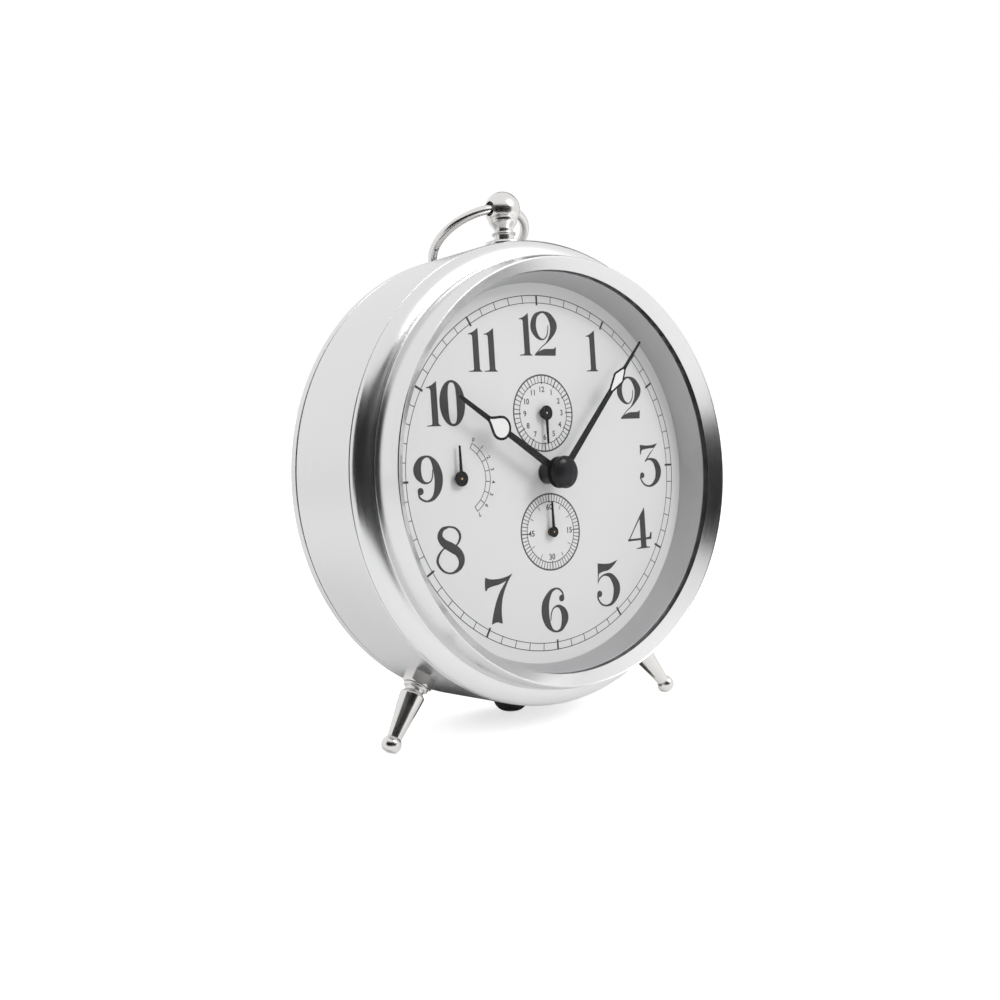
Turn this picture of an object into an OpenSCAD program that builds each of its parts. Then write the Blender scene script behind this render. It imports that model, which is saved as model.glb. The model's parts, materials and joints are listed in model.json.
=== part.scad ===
// Mechanical alarm clock: a round drum case on two turned legs and a rear button foot, a
// seven-day movement between two plates, an alarm train with its bell, and a swinging top ring.
// Millimetres, +Z up, -Y to the front. Every piece is drawn in the dial's own frame, with X to
// the right, Y to the back, Z up along the dial and the dial's face at y = 0. on_clock() then
// leans the clock back and stands it on its feet. Clock angles count clockwise from twelve.

/* [Case] */
// Outer radius of the drum
drum_r = 59.5; // [59:0.5:64]
// Length of the drum, from the bezel's flange to the back cover's rim
drum_len = 24.3; // [24.3:0.1:30]
// Sheet metal thickness of the drum
drum_wall = 0.8; // [0.6:0.1:1]
// Length of the back cover's visible rim
rim_len = 3; // [2.4:0.1:4]
// Sheet metal thickness of the back cover
cover_wall = 0.8; // [0.6:0.1:1.2]
// How far the back cover's plate lies inside its rim
cover_recess = 0.7; // [0.4:0.1:1.2]
// Length of the collars that slide into the drum
collar_len = 3.5; // [2:0.5:5]
// How far the clock leans back, in degrees
lean = 5; // [2:1:8]

/* [Bezel and glass] */
// How far the bezel's flange stands out past the drum
flange_proud = 0.8; // [0.4:0.1:1.5]
// Straight edge of the flange
flange_edge = 1.2; // [0.8:0.1:2]
// Step from the drum in to the front bead
bead_step = 4.6; // [4:0.1:5.4]
// Depth of the groove between the flange and the bead, in front of the dial
groove_depth = 4; // [3:0.1:5]
// How far the bead stands in front of the dial
bead_front = 12.2; // [11.8:0.1:14]
// Rounding of the bead's outer corner
bead_round = 2.5; // [2:0.1:3]
// Width of the bead, from its outside in to the bezel's opening
bead_w = 4.3; // [3.8:0.1:4.8]
// How far the lip stands in front of the dial
lip_front = 9.1; // [9:0.1:10]
// Sheet metal thickness of the bezel
bezel_wall = 0.8; // [0.6:0.1:1]
// Thickness of the glass
glass_t = 1.5; // [1:0.1:2]
// Rise of the glass from its edge to its centre
glass_rise = 2.2; // [1.5:0.1:3]
// How far the inner ring narrows towards the dial
ring_taper = 1.8; // [1:0.1:3.4]
// Sheet metal thickness of the inner ring
ring_wall = 0.6; // [0.4:0.1:0.8]

/* [Legs and foot] */
// Angle of each leg from straight down, in degrees
leg_spread = 36.8; // [30:0.2:42]
// Forward splay of each leg, in degrees
leg_splay = 6.2; // [0:0.2:10]
// Depth of each leg's root behind the dial
leg_depth = 10.9; // [8:0.1:14]
// Height of the drum above the surface
under_drum = 6.1; // [5:0.1:9]
// Width of the hexagon at a leg's root, across flats
leg_hex_w = 6.6; // [5.5:0.1:8]
// Height of the hexagon
leg_hex_h = 3.2; // [2.5:0.1:4]
// Radius of the collar below the hexagon
leg_collar_r = 3.1; // [2.6:0.1:3.6]
// Radius of the neck between the collars
leg_neck_r = 2.3; // [1.8:0.1:2.6]
// Largest radius of the leg's cone
leg_cone_r = 3.15; // [2.6:0.05:4]
// Smallest radius of the leg's cone
leg_tip_r = 1.75; // [1.4:0.05:2.2]
// Radius of the knob at the leg's end
leg_knob_r = 2.45; // [2:0.05:3]
// Depth of the rear foot's centre behind the dial
foot_depth = 21; // [19:0.1:22]
// Radius of the rear foot's button
foot_r = 4.8; // [4:0.1:6]
// Thickness taken off each foot where it meets the surface
foot_flat = 0.45; // [0.3:0.05:0.6]

/* [Top ring] */
// Depth of the finial's axis behind the dial
finial_depth = 11.5; // [9:0.1:14]
// Radius of the finial's ball
ball_r = 4.65; // [4:0.05:6]
// Height of the ball's centre above the drum
ball_h = 10.3; // [9:0.1:13]
// Radius of the finial's base collar
base_r = 5.1; // [4.5:0.1:6]
// Height of the base collar
base_h = 1.9; // [1.5:0.1:2.4]
// Radius of the finial's stem
stem_r = 2.65; // [2.2:0.05:3.2]
// Radius of the stem's bead
stem_bead_r = 3.1; // [2.8:0.05:3.8]
// Mean radius of the ring
ring_r = 13.4; // [13:0.1:15]
// Radius of the ring's wire
ring_wire_r = 1.18; // [0.9:0.02:1.4]
// How far the resting ring lies below level, in degrees of the dial's frame
ring_angle = 32.5; // [26:0.5:33]

/* [Dial and hands] */
// Thickness of the dial
dial_t = 0.6; // [0.4:0.1:0.8]
// Drop of the seconds dial below the centre
seconds_drop = 15.2; // [14.5:0.1:16]
// Rise of the alarm dial above the centre
alarm_rise = 15.4; // [14.5:0.1:16]
// Distance of the power reserve arbor to the left of the centre
reserve_left = 28.3; // [27:0.1:29]
// Thickness of the hands
hand_t = 0.4; // [0.3:0.05:0.6]
// Height of the hour hand in front of the dial
hour_hand_front = 4.6; // [4:0.1:5]
// Height of the minute hand in front of the dial
minute_hand_front = 6.1; // [5.8:0.1:6.5]
// Height of the small hands in front of the dial
small_hand_front = 1.1; // [0.8:0.1:1.6]
// Length of the hour hand
hour_hand_len = 36; // [30:0.5:40]
// Length of the minute hand
minute_hand_len = 44.8; // [42:0.1:46]
// Length of the seconds and alarm hands
small_hand_len = 7.9; // [6:0.1:9]
// Length of the power reserve hand
reserve_hand_len = 8.1; // [6:0.1:9]
// Time that the hands show at rest, in minutes past twelve
shown_minutes = 607; // [0:1:719]
// Radius of the cap over the hands
cap_r = 4.15; // [3.6:0.05:4.6]
// Height of the cap
cap_h = 2.1; // [1.6:0.1:2.2]

/* [Movement plates] */
// Radius of the plates
plate_r = 46; // [45:0.5:50]
// Thickness of the plates
plate_t = 1.2; // [1:0.1:1.6]
// Space between the plates
plates_apart = 11.8; // [11.8:0.1:13]
// Space between the dial and the front plate
under_dial = 5.4; // [5.4:0.1:6]
// Radius of the pillars
pillar_r = 2.6; // [2.2:0.1:3]
// Radial clearance of a pivot in its plate
pivot_fit = 0.05; // [0.03:0.01:0.08]
// End shake of an arbor between the plates
end_shake = 0.15; // [0.1:0.05:0.25]

/* [Going train] */
// Module of the great wheel
great_m = 0.5; // [0.48:0.01:0.52]
// Module of the second wheel and the centre pinion
second_m = 0.42; // [0.4:0.01:0.44]
// Module of the centre wheel and the third pinion
centre_m = 0.35; // [0.33:0.01:0.37]
// Module of the third wheel and the fourth pinion
third_m = 0.3; // [0.28:0.01:0.31]
// Module of the fourth wheel and the escape pinion
fourth_m = 0.25; // [0.23:0.01:0.26]
// Distance of the barrel's arbor to the left of the centre
barrel_left = 30; // [29:0.5:32]
// Drop of the barrel's arbor below the centre
barrel_drop = 16; // [14:0.5:18]
// Outer radius of the mainspring barrel
barrel_r = 16.5; // [15:0.1:17]
// Radius of the barrel's arbor
barrel_arbor_r = 2.4; // [2:0.1:2.8]
// Thickness of the mainspring's band
mainspring_t = 0.35; // [0.2:0.05:0.4]
// Turns of the mainspring in the barrel
mainspring_turns = 11; // [6:1:12]
// Thickness of the train's wheels
wheel_t = 0.7; // [0.5:0.05:0.8]

/* [Escapement] */
// Radius of the escape wheel
escape_r = 5.5; // [5:0.1:6]
// Distance from the escape wheel to the lever's arbor
escape_to_lever = 8.6; // [8.4:0.1:9.5]
// Distance from the lever's arbor to the balance
lever_to_balance = 10; // [9.8:0.1:11]
// Radius of the balance wheel
balance_r = 8.5; // [7:0.1:8.6]
// Outer radius of the hairspring
hairspring_r = 5.8; // [5:0.1:6]
// Turns of the hairspring
hairspring_turns = 7; // [4:1:7]

/* [Alarm] */
// Distance of the alarm barrel's arbor to the right of the centre
alarm_barrel_right = 28; // [27:0.5:30]
// Rise of the alarm barrel's arbor above the centre
alarm_barrel_rise = 18; // [16:0.5:20]
// Outer radius of the alarm barrel
alarm_barrel_r = 13.3; // [12:0.1:13.6]
// Module of the alarm barrel's wheel
alarm_m = 0.5; // [0.48:0.01:0.51]
// Turns of the alarm's spring in its barrel
alarm_spring_turns = 7; // [4:1:9]
// Radius of the bell's rim
bell_r = 14.5; // [12:0.5:15]
// Depth of the bell
bell_depth = 7; // [5:0.5:8]
// Travel of the alarm's stop button
stop_travel = 3; // [2:0.5:3]

/* [Keys and knobs] */
// Radius of the hand-setting knob
set_knob_r = 6; // [5:0.5:7]
// Radius of the alarm-setting knob
alarm_knob_r = 5; // [4:0.5:6]
// Length of the knobs
knob_len = 5.5; // [4:0.5:6.5]
// Half width of the winding keys
key_half_w = 12; // [10:0.5:13]
// Length of the winding keys behind the back cover
key_len = 10.6; // [9:0.1:11]

/* [Hidden] */
$fn = 48;

// Segments of the large round pieces
fine = 144;
// Segments of a rounded corner in a turned profile
round_steps = 6;
// Overrun of every cut
over = 1;
// Gap of a loose fit, and of a sliding one
loose = 0.3;
slide_fit = 0.08;
// Gap between a collar and the drum that it slides into
collar_fit = 0.1;

// Depths, counted back from the dial's face
plate_y = dial_t + under_dial;
inside_y = plate_y + plate_t;
back_y = inside_y + plates_apart;
behind_y = back_y + plate_t;
rear_y = drum_len + rim_len;
cover_y = rear_y - cover_recess;
cover_in_y = cover_y - cover_wall;

// Radii of the case, the bezel and the visible dial
drum_in = drum_r - drum_wall;
collar_r = drum_in - collar_fit;
flange_r = drum_r + flange_proud;
bead_r = drum_r - bead_step;
lip_r = bead_r - bead_w;
dial_view_r = lip_r - ring_taper;

// Colours, as they show
satin = "#d9dadb";
steel = "#b9bcc0";
chrome = "#dfe2e6";
brass = "#c9a95c";
blued = "#3c4250";
black = "#222226";
white = "#e6e6e6";

// Clock angle a at radius r, as [x, z] of the dial
function polar(a, r) = [r * sin(a), r * cos(a)];
// Point at distance a from p and b from q, to the left of the way from p to q, or right for s = -1
function meet(p, a, q, b, s) =
  let (d = norm(q - p), u = (q - p) / d, x = (a * a - b * b + d * d) / (2 * d))
  p + x * u + s * sqrt(a * a - x * x) * [-u[1], u[0]];
// Angle from p towards q, about an axis that runs back
function toward(p, q) = atan2(p[1] - q[1], q[0] - p[0]);
// Turn of a gear of n2 teeth in mesh with one of n1 teeth turned by a1, which lies at angle dir
function mesh(n1, a1, n2, dir) = dir + 180 + ((dir - a1) * n1 - 180) / n2;
// Distance between the arbors of two gears
function apart(n1, n2, m) = (n1 + n2) * m / 2;

// Leaning and standing the clock. The legs are as long as it takes to hold the drum above the
// surface, and the rear foot reaches down to the same surface.
// Share of a leg's length that counts as height
leg_drop_share = cos(leg_splay) * cos(leg_spread) * cos(lean) - sin(leg_splay) * sin(lean);
lift = drum_r * cos(lean) + under_drum;
knob_h = leg_knob_r - foot_flat;
root_h = lift - leg_depth * sin(lean) - drum_in * cos(leg_spread) * cos(lean);
// Distance of a knob's centre from the drum, along the leg
knob_down = (root_h - knob_h) / leg_drop_share - drum_wall;
// The top ring runs through a straight hole in the finial's ball. Its wire is curved, so it passes
// half its sag to one side of the ball's centre and half to the other.
ring_sag = ring_r - sqrt(ring_r * ring_r - ball_r * ball_r);
ring_off = ring_r - ring_sag / 2;
// The object's middle, front to back, goes to y = 0
ring_arm = ring_off + ring_r;
ring_end_y = finial_depth + ring_arm * cos(ring_angle);
ring_end_z = drum_r + ball_h - ring_arm * sin(ring_angle);
back_reach = ring_end_y * cos(lean) + ring_end_z * sin(lean) + ring_wire_r;
front_reach = (bead_front - bead_round) * cos(lean) + (bead_r - bead_round) * sin(lean) + bead_round;
centre_shift = (front_reach - back_reach) / 2;

module on_clock() translate([0, centre_shift, lift]) rotate([-lean, 0, 0]) children();

// Axis through the dial's point p that runs back from depth y: x to the right, y down, z back
module at(p, y) on_clock() translate([p[0], y, p[1]]) rotate([-90, 0, 0]) children();

// Turned piece about the dial's axis, from [radius, depth] points
module turned(points) on_clock() rotate([-90, 0, 0]) rotate_extrude($fn = fine) polygon(points);

// Quarter of an ellipse about c with radii a (outwards) and b (back), from angle a0 to a1
function arc(c, a, b, a0, a1, steps = round_steps) =
  [for (i = [0:steps]) let (t = a0 + (a1 - a0) * i / steps) c + [a * cos(t), b * sin(t)]];

/* Gears */
// Outline of one tooth: [share of the module outside the pitch circle, share of the pitch to the side]
tooth_shares = [[-1.3, -0.22], [0, -0.2], [0.95, -0.075], [0.95, 0.075], [0, 0.2], [-1.3, 0.22]];

module gear_outline(n, m) polygon([
  for (i = [0:n - 1])
    for (s = tooth_shares)
      let (r = m * (n / 2 + s[0]), a = 360 * (i + s[1]) / n) [r * cos(a), r * sin(a)]
]);

// Modules between the pitch circle and the rim's inner edge
rim_share = 3.4;
spoke_w = 1.1;
spokes = 5;

// Spoked wheel, from z = 0 back
module wheel(n, m, t, hub_r) linear_extrude(t) difference() {
  gear_outline(n, m);
  difference() {
    circle(m * (n / 2 - rim_share));
    circle(hub_r);
    for (i = [0:spokes - 1])
      rotate(360 * i / spokes) translate([0, -spoke_w / 2]) square([m * n / 2, spoke_w]);
  }
}

module pinion(n, m, h) linear_extrude(h) gear_outline(n, m);

// Arbor between the plates, with a pivot in each
module arbor(r, pivot_r) {
  translate([0, 0, end_shake]) cylinder(r = r, h = plates_apart - 2 * end_shake);
  translate([0, 0, -plate_t]) cylinder(r = pivot_r, h = plates_apart + 2 * plate_t);
}

// Sawtooth ratchet outline, whose steep faces stop it from turning back, anticlockwise
module ratchet_outline(n, r, tooth) polygon([
  for (i = [0:n - 1]) for (q = [r - tooth, r]) q * [cos(360 * i / n), sin(360 * i / n)]
]);

// Knurled outline with n ridges
module knurled(n, r, ridge) polygon([
  for (i = [0:2 * n - 1]) let (q = r - ridge * (i % 2), a = 180 * i / n) [q * cos(a), q * sin(a)]
]);

// Flat spiral band from radius r0 to r1. It winds tighter when its inner end turns back.
module spiral(r0, r1, turns, t, h, steps = 20) {
  n = turns * steps;
  function rad(i) = r0 + (r1 - r0) * i / n;
  function dir(i) = [cos(360 * i / steps), sin(360 * i / steps)];
  linear_extrude(h) polygon(concat(
    [for (i = [0:n]) (rad(i) + t / 2) * dir(i)],
    [for (i = [n:-1:0]) (rad(i) - t / 2) * dir(i)]
  ));
}

// Tooth counts
great_n = 72;
second_pinion_n = 12;
second_n = 60;
centre_pinion_n = 15;
centre_n = 75;
third_pinion_n = 10;
third_n = 80;
fourth_pinion_n = 10;
fourth_n = 80;
escape_pinion_n = 10;
escape_n = 15;
cannon_n = 10;
minute_n = 30;
minute_pinion_n = 8;
hour_n = 32;
reserve_pinion_n = 10;
idler_n = 42;
idler_pinion_n = 10;
reserve_n = 40;
alarm_great_n = 60;
star_pinion_n = 10;
star_n = 12;
ratchet_n = 24;

// Modules of the work under the dial: the hour wheel drives the alarm wheel one to one
motion_m = alarm_rise / hour_n;
reserve_m = 0.35;

// Arbor places, as [x, z] of the dial
centre = [0, 0];
fourth_at = [0, -seconds_drop];
alarm_at = [0, alarm_rise];
reserve_at = [-reserve_left, 0];
barrel_at = [-barrel_left, -barrel_drop];
second_at = meet(centre, apart(centre_pinion_n, second_n, second_m),
                 barrel_at, apart(second_pinion_n, great_n, great_m), -1);
third_at = meet(centre, apart(centre_n, third_pinion_n, centre_m),
                fourth_at, apart(third_n, fourth_pinion_n, third_m), 1);
escape_dir = 143;
line_dir = 95;
escape_at = fourth_at + polar(escape_dir, apart(fourth_n, escape_pinion_n, fourth_m));
lever_at = escape_at + polar(line_dir, escape_to_lever);
balance_at = lever_at + polar(line_dir, lever_to_balance);
minute_at = [apart(cannon_n, minute_n, motion_m), 0];
idler_at = meet(barrel_at, apart(reserve_pinion_n, idler_n, reserve_m),
                reserve_at, apart(idler_pinion_n, reserve_n, reserve_m), 1);
alarm_barrel_at = [alarm_barrel_right, alarm_barrel_rise];
star_dir = -53;
star_at = alarm_barrel_at + polar(star_dir, apart(alarm_great_n, star_pinion_n, alarm_m));
hammer_dir = -70;
star_to_hammer = 8.4;
hammer_at = star_at + polar(hammer_dir, star_to_hammer);
// Places on the plates, as shares of their radius
bell_shares = [-0.5, 0.652];
stop_shares = [0.196, 0.848];
pillar_shares = [[-0.87, 0.304], [-0.304, -0.87], [0.826, -0.348], [0.044, 0.913]];
dial_foot_shares = [[0, -0.804], [0.804, 0.087], [-0.348, 0.826]];
bell_at = plate_r * bell_shares;
stop_at = plate_r * stop_shares;
pillar_at = plate_r * pillar_shares;
dial_foot_at = plate_r * dial_foot_shares;

// Turns that put the gears in mesh at rest
second_turn = mesh(centre_pinion_n, 0, second_n, toward(centre, second_at));
great_turn = mesh(second_pinion_n, second_turn, great_n, toward(second_at, barrel_at));
third_turn = mesh(centre_n, 0, third_pinion_n, toward(centre, third_at));
fourth_turn = mesh(third_n, third_turn, fourth_pinion_n, toward(third_at, fourth_at));
escape_turn = mesh(fourth_n, fourth_turn, escape_pinion_n, toward(fourth_at, escape_at));
minute_turn = mesh(cannon_n, 0, minute_n, toward(centre, minute_at));
hour_turn = mesh(minute_pinion_n, minute_turn, hour_n, toward(minute_at, centre));
alarm_wheel_turn = mesh(hour_n, hour_turn, hour_n, toward(centre, alarm_at));
idler_turn = mesh(reserve_pinion_n, 0, idler_n, toward(barrel_at, idler_at));
reserve_turn = mesh(idler_pinion_n, idler_turn, reserve_n, toward(idler_at, reserve_at));
star_turn = mesh(alarm_great_n, 0, star_pinion_n, toward(alarm_barrel_at, star_at));

// Levels of the wheels between the plates, back from the front plate's inner face
great_z = 0.8;
third_z = 1.4;
escape_z = 3;
centre_z = 4.3;
balance_z = 6;
fourth_z = 6.8;
second_z = 9.7;
star_z = 9.4;
// How much longer a pinion is than its wheel, at each end
pinion_more = 0.4;
great_t = 1.2;

// Radii of the arbors and pivots
fine_arbor_r = 0.7;
fine_pivot_r = 0.4;
train_arbor_r = 0.9;
train_pivot_r = 0.5;
centre_r = 1.5;
alarm_r = 1;
pipe_wall = 0.5;
stud_r = 0.55;
second_arbor_r = 1.4;
second_pivot_r = 0.9;
barrel_pivot_r = 2;
hub_r = 2.4;
sleeve_r = 2.1;

/* Case */
drum_hole_fit = 0.1;
module case_drum() color(satin) difference() {
  turned([
    [drum_in, 0], [drum_r, 0], [drum_r, drum_len], [drum_in, drum_len]
  ]);
  for (s = [-1, 1]) leg_place(s) translate([0, 0, -over])
    cylinder(r = leg_stud_r + drum_hole_fit, h = drum_wall + 2 * over);
  foot_place() translate([0, 0, -over]) cylinder(r = leg_stud_r + drum_hole_fit, h = drum_wall + 2 * over);
  finial_place() translate([0, 0, -drum_wall - over])
    cylinder(r = leg_stud_r + drum_hole_fit, h = drum_wall + 2 * over);
}

module front_bezel() color(satin) turned(concat(
  // Outside: collar, flange, groove, bead and lip
  [[collar_r, collar_len], [collar_r, 0], [flange_r, 0], [flange_r, -flange_edge]],
  arc([bead_r, -flange_edge], flange_r - bead_r, flange_edge - groove_depth, 10, 90),
  arc([bead_r - bead_round, bead_round - bead_front], bead_round, -bead_round, 0, 90),
  arc([bead_r - bead_round, -lip_front], bead_r - bead_round - lip_r, lip_front - bead_front, 105, 180),
  // Inside, one wall behind the outside
  arc([bead_r - bead_round, -lip_front], bead_r - bead_round - lip_r - bezel_wall,
      lip_front - bead_front + bezel_wall, 180, 90),
  arc([bead_r - bead_round, bead_round - bead_front], bead_round - bezel_wall,
      bezel_wall - bead_round, 75, 0),
  arc([bead_r - bezel_wall, bezel_wall - flange_edge], collar_r - bezel_wall - bead_r + bezel_wall,
      flange_edge - groove_depth, 90, 0),
  [[collar_r - bezel_wall, collar_len]]
));

// Glass: its edge lies behind the bezel's lip, and its middle is raised
glass_r = bead_r - bezel_wall - loose;
glass_front = lip_front - collar_fit;
glass_back = glass_front - glass_t;
function dome(r, rise, y) = [for (i = [0:round_steps]) let (t = i / round_steps)
  [r * t, y - rise * (1 - t * t)]];
function reverse(points) = [for (i = [len(points) - 1:-1:0]) points[i]];
module glass() color("white", 0.3) turned(concat(
  dome(lip_r, glass_rise, -glass_front),
  [[glass_r, -glass_front], [glass_r, -glass_back]],
  reverse(dome(lip_r, glass_rise, -glass_back))
));

// Inner ring: a cone from the dial to the glass, with a flange at each end
ring_back_flange = 2.6;
// Radial gap from the cone's front edge to the bezel's opening
cone_gap = 0.2;
cone_front_r = lip_r - cone_gap;
module inner_ring() color("#a9a9ab") turned([
  [dial_view_r, 0],
  [cone_front_r, -glass_back],
  [glass_r, -glass_back],
  [glass_r, ring_wall - glass_back],
  [cone_front_r + ring_wall, ring_wall - glass_back],
  [dial_view_r + ring_wall, -ring_wall],
  [dial_view_r + ring_wall + ring_back_flange, -ring_wall],
  [dial_view_r + ring_wall + ring_back_flange, 0]
]);

cover_round = 1;
cover_rim_w = 2.4;
shaft_hole_fit = 0.5;
index_r = 7;
index_slot_w = 1.8;
index_turn = 28;
module index_slot(h) rotate([0, 0, line_dir - index_turn]) 
  rotate_extrude(angle = 2 * index_turn) translate([index_r - index_slot_w / 2, 0])
  square([index_slot_w, h]);

module back_cover() color(satin) difference() {
  turned(concat(
    [[collar_r, drum_len - collar_len], [collar_r, drum_len], [drum_r, drum_len]],
    arc([drum_r - cover_round, rear_y - cover_round], cover_round, cover_round, 0, 90),
    [
      [drum_r - cover_rim_w, rear_y],
      [drum_r - cover_rim_w - cover_recess, cover_y],
      [0, cover_y],
      [0, cover_in_y],
      [collar_r - cover_wall, cover_in_y],
      [collar_r - cover_wall, drum_len - collar_len]
    ]
  ));
  for (c = [[centre, centre_r], [alarm_at, alarm_r], [barrel_at, key_stem_r],
            [alarm_barrel_at, key_stem_r], [stop_at, stop_r]])
    at(c[0], cover_in_y - over) cylinder(r = c[1] + shaft_hole_fit, h = cover_wall + 2 * over);
  for (p = pillar_at)
    at(p, cover_in_y - over) cylinder(r = cover_screw_r + shaft_hole_fit, h = cover_wall + 2 * over);
  at(balance_at, cover_in_y - over) index_slot(cover_wall + 2 * over);
  // Notch in the collar round the rear foot's stud and nut
  foot_place() translate([0, 0, -stud_len - over])
    cylinder(r = nut_corner_r + loose, h = stud_len + over + drum_wall / 2);
}

cover_screw_r = 1;
screw_head_r = 2;
screw_head_h = 1.1;
slot_w = 0.6;
slot_depth = 0.6;
screw_len = 4;
// Slotted cheese-head screw, its head standing on z = 0
module screw(r, head_r, head_h, len) {
  difference() {
    cylinder(r = head_r, h = head_h);
    translate([-head_r - over, -slot_w / 2, head_h - slot_depth])
      cube([2 * (head_r + over), slot_w, slot_depth + over]);
  }
  translate([0, 0, -len]) cylinder(r = r, h = len + head_h - slot_depth);
}
module cover_screws() color(steel)
  for (p = pillar_at) at(p, cover_y) screw(cover_screw_r, screw_head_r, screw_head_h, screw_len);

/* Legs, foot and finial */
leg_stud_r = 1.5;
stud_len = 3.2;
seat = 0.6;
leg_collar_h = 0.9;
leg_neck_h = 0.9;
// Half angle of the knob that the cone runs into
knob_start = acos(leg_tip_r / leg_knob_r);
leg_shoulder_h = 0.8;
// Place of a leg's root on the drum, s = -1 left and 1 right, with z pointing out along the leg
module leg_place(s) on_clock() translate([0, leg_depth, 0]) rotate([0, s * (180 - leg_spread), 0])
  translate([0, 0, drum_in]) rotate([leg_splay, 0, 0]) children();
module foot_place() on_clock() translate([0, foot_depth, -drum_in]) rotate([180, 0, 0]) children();
module finial_place() on_clock() translate([0, finial_depth, drum_r]) children();

// Everything below the surface that the clock stands on
module below_surface() translate([-drum_r, -drum_r, -drum_r]) cube([2 * drum_r, 2 * drum_r, drum_r]);
module drum_solid() on_clock() rotate([-90, 0, 0]) translate([0, 0, -bead_front])
  cylinder(r = drum_r, h = bead_front + rear_y, $fn = fine);

// A leg from the drum's inner wall outwards: stud, hexagon, collar, neck, cone and knob
module leg(s) color(chrome) difference() {
  union() {
    difference() {
      leg_place(s) cylinder(r = leg_hex_w / 2 / cos(30), h = leg_hex_h + drum_wall, $fn = 6);
      drum_solid();
    }
    leg_place(s) union() {
      translate([0, 0, -stud_len]) cylinder(r = leg_stud_r, h = stud_len + drum_wall + seat);
      translate([0, 0, drum_wall]) rotate_extrude() polygon(concat(
        [
          [0, seat], [leg_neck_r, seat], [leg_neck_r, leg_hex_h],
          [leg_collar_r, leg_hex_h], [leg_collar_r, leg_hex_h + leg_collar_h],
          [leg_neck_r, leg_hex_h + leg_collar_h],
          [leg_neck_r, leg_hex_h + leg_collar_h + leg_neck_h],
          [leg_cone_r, leg_hex_h + leg_collar_h + leg_neck_h + leg_shoulder_h]
        ],
        [for (i = [0:2 * round_steps])
          let (a = -knob_start + i * (knob_start + leg_end_turn) / (2 * round_steps))
          [leg_knob_r * cos(a), knob_down + leg_knob_r * sin(a)]],
        [[0, knob_down + leg_knob_r * sin(leg_end_turn)]]
      ));
    }
  }
  below_surface();
}
leg_end_turn = 43;
module leg_left() leg(-1);
module leg_right() leg(1);

// Rear foot: a domed button whose crown reaches the surface
foot_down = (lift - foot_depth * sin(lean)) / cos(lean) - drum_in;
foot_neck_r = 3.4;
module rear_foot() color(chrome) difference() {
  union() {
    foot_place() translate([0, 0, -stud_len]) cylinder(r = leg_stud_r, h = stud_len + drum_wall + seat);
    difference() {
      foot_place() rotate_extrude() polygon(concat(
        [[0, 0], [foot_neck_r, 0], [foot_neck_r, drum_wall + seat]],
        arc([0, drum_wall + seat], foot_r, foot_down + foot_flat - drum_wall - seat, 0, 90)
      ));
      drum_solid();
    }
  }
  below_surface();
}

// Hexagon nuts inside the drum on the studs of the legs, the rear foot and the finial
nut_w = 5.5;
nut_corner_r = nut_w / 2 / cos(30);
nut_h = 2;
// The nuts stop just short of the drum's curved wall, which the splayed legs meet at a slant
nut_gap = nut_corner_r * sin(leg_splay) + slide_fit;
module nut() translate([0, 0, -nut_h - nut_gap]) difference() {
  cylinder(r = nut_corner_r, h = nut_h, $fn = 6);
  translate([0, 0, -over]) cylinder(r = leg_stud_r, h = nut_h + 2 * over);
}
module case_nuts() color(steel) {
  for (s = [-1, 1]) leg_place(s) nut();
  foot_place() nut();
  finial_place() translate([0, 0, -drum_wall]) nut();
}

// Finial: base collar, stem, bead, waist and a pear that swells into the ball
base_round = 0.7;
waist_r = 2.45;
stem_bead_h = 0.7;
pear_r = 3.95;
// Share of the ball's radius at which the pear runs into it
pear_top_share = 0.55;
stem_h = 1.6;
waist_h = 0.6;
module finial() color(chrome) difference() {
  union() {
    difference() {
      finial_place() rotate_extrude() polygon(concat(
        [[0, -seat], [base_r, -seat]],
        arc([base_r - base_round, base_h - base_round], base_round, base_round, 0, 90),
        [[stem_r, base_h], [stem_r, base_h + stem_h]],
        arc([stem_r, base_h + stem_h + stem_bead_h / 2], stem_bead_r - stem_r, stem_bead_h / 2, -90, 90),
        [
          [waist_r, base_h + stem_h + stem_bead_h],
          [waist_r, base_h + stem_h + stem_bead_h + waist_h],
          [pear_r, ball_h - ball_r * pear_top_share],
          [pear_r, ball_h],
          [0, ball_h]
        ]
      ));
      drum_solid();
    }
    finial_place() translate([0, 0, ball_h]) sphere(r = ball_r);
    finial_place() translate([0, 0, -drum_wall - stud_len])
      cylinder(r = leg_stud_r, h = stud_len + drum_wall + seat);
  }
  finial_place() translate([-base_r - over, 0, ball_h]) rotate([0, 90, 0])
    cylinder(r = ring_wire_r + ring_sag / 2 + loose, h = 2 * (base_r + over));
}

// Top ring: a closed wire ring that swings in the ball's hole
module top_ring() color(chrome) finial_place() translate([0, 0, ball_h]) rotate([-ring_angle, 0, 0])
  translate([0, ring_off, 0]) rotate_extrude($fn = fine) translate([ring_r, 0]) circle(r = ring_wire_r);

/* Dial */
dial_foot_r = 1.2;
dial_shoulder_r = 2.2;
dial_gap = 0.8;
dial_r = collar_r - bezel_wall - dial_gap;
module dial() color(white) {
  difference() {
    at(centre, 0) cylinder(r = dial_r, h = dial_t, $fn = fine);
    at(centre, -over) cylinder(r = hour_pipe_r + loose, h = dial_t + 2 * over);
    at(fourth_at, -over) cylinder(r = fine_arbor_r + loose, h = dial_t + 2 * over);
    at(alarm_at, -over) cylinder(r = alarm_r + loose, h = dial_t + 2 * over);
    at(reserve_at, -over) cylinder(r = reserve_pipe_r + loose, h = dial_t + 2 * over);
  }
  for (p = dial_foot_at) {
    at(p, dial_t) cylinder(r = dial_shoulder_r, h = under_dial);
    at(p, dial_t) cylinder(r = dial_foot_r, h = under_dial + plate_t);
  }
}

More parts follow.
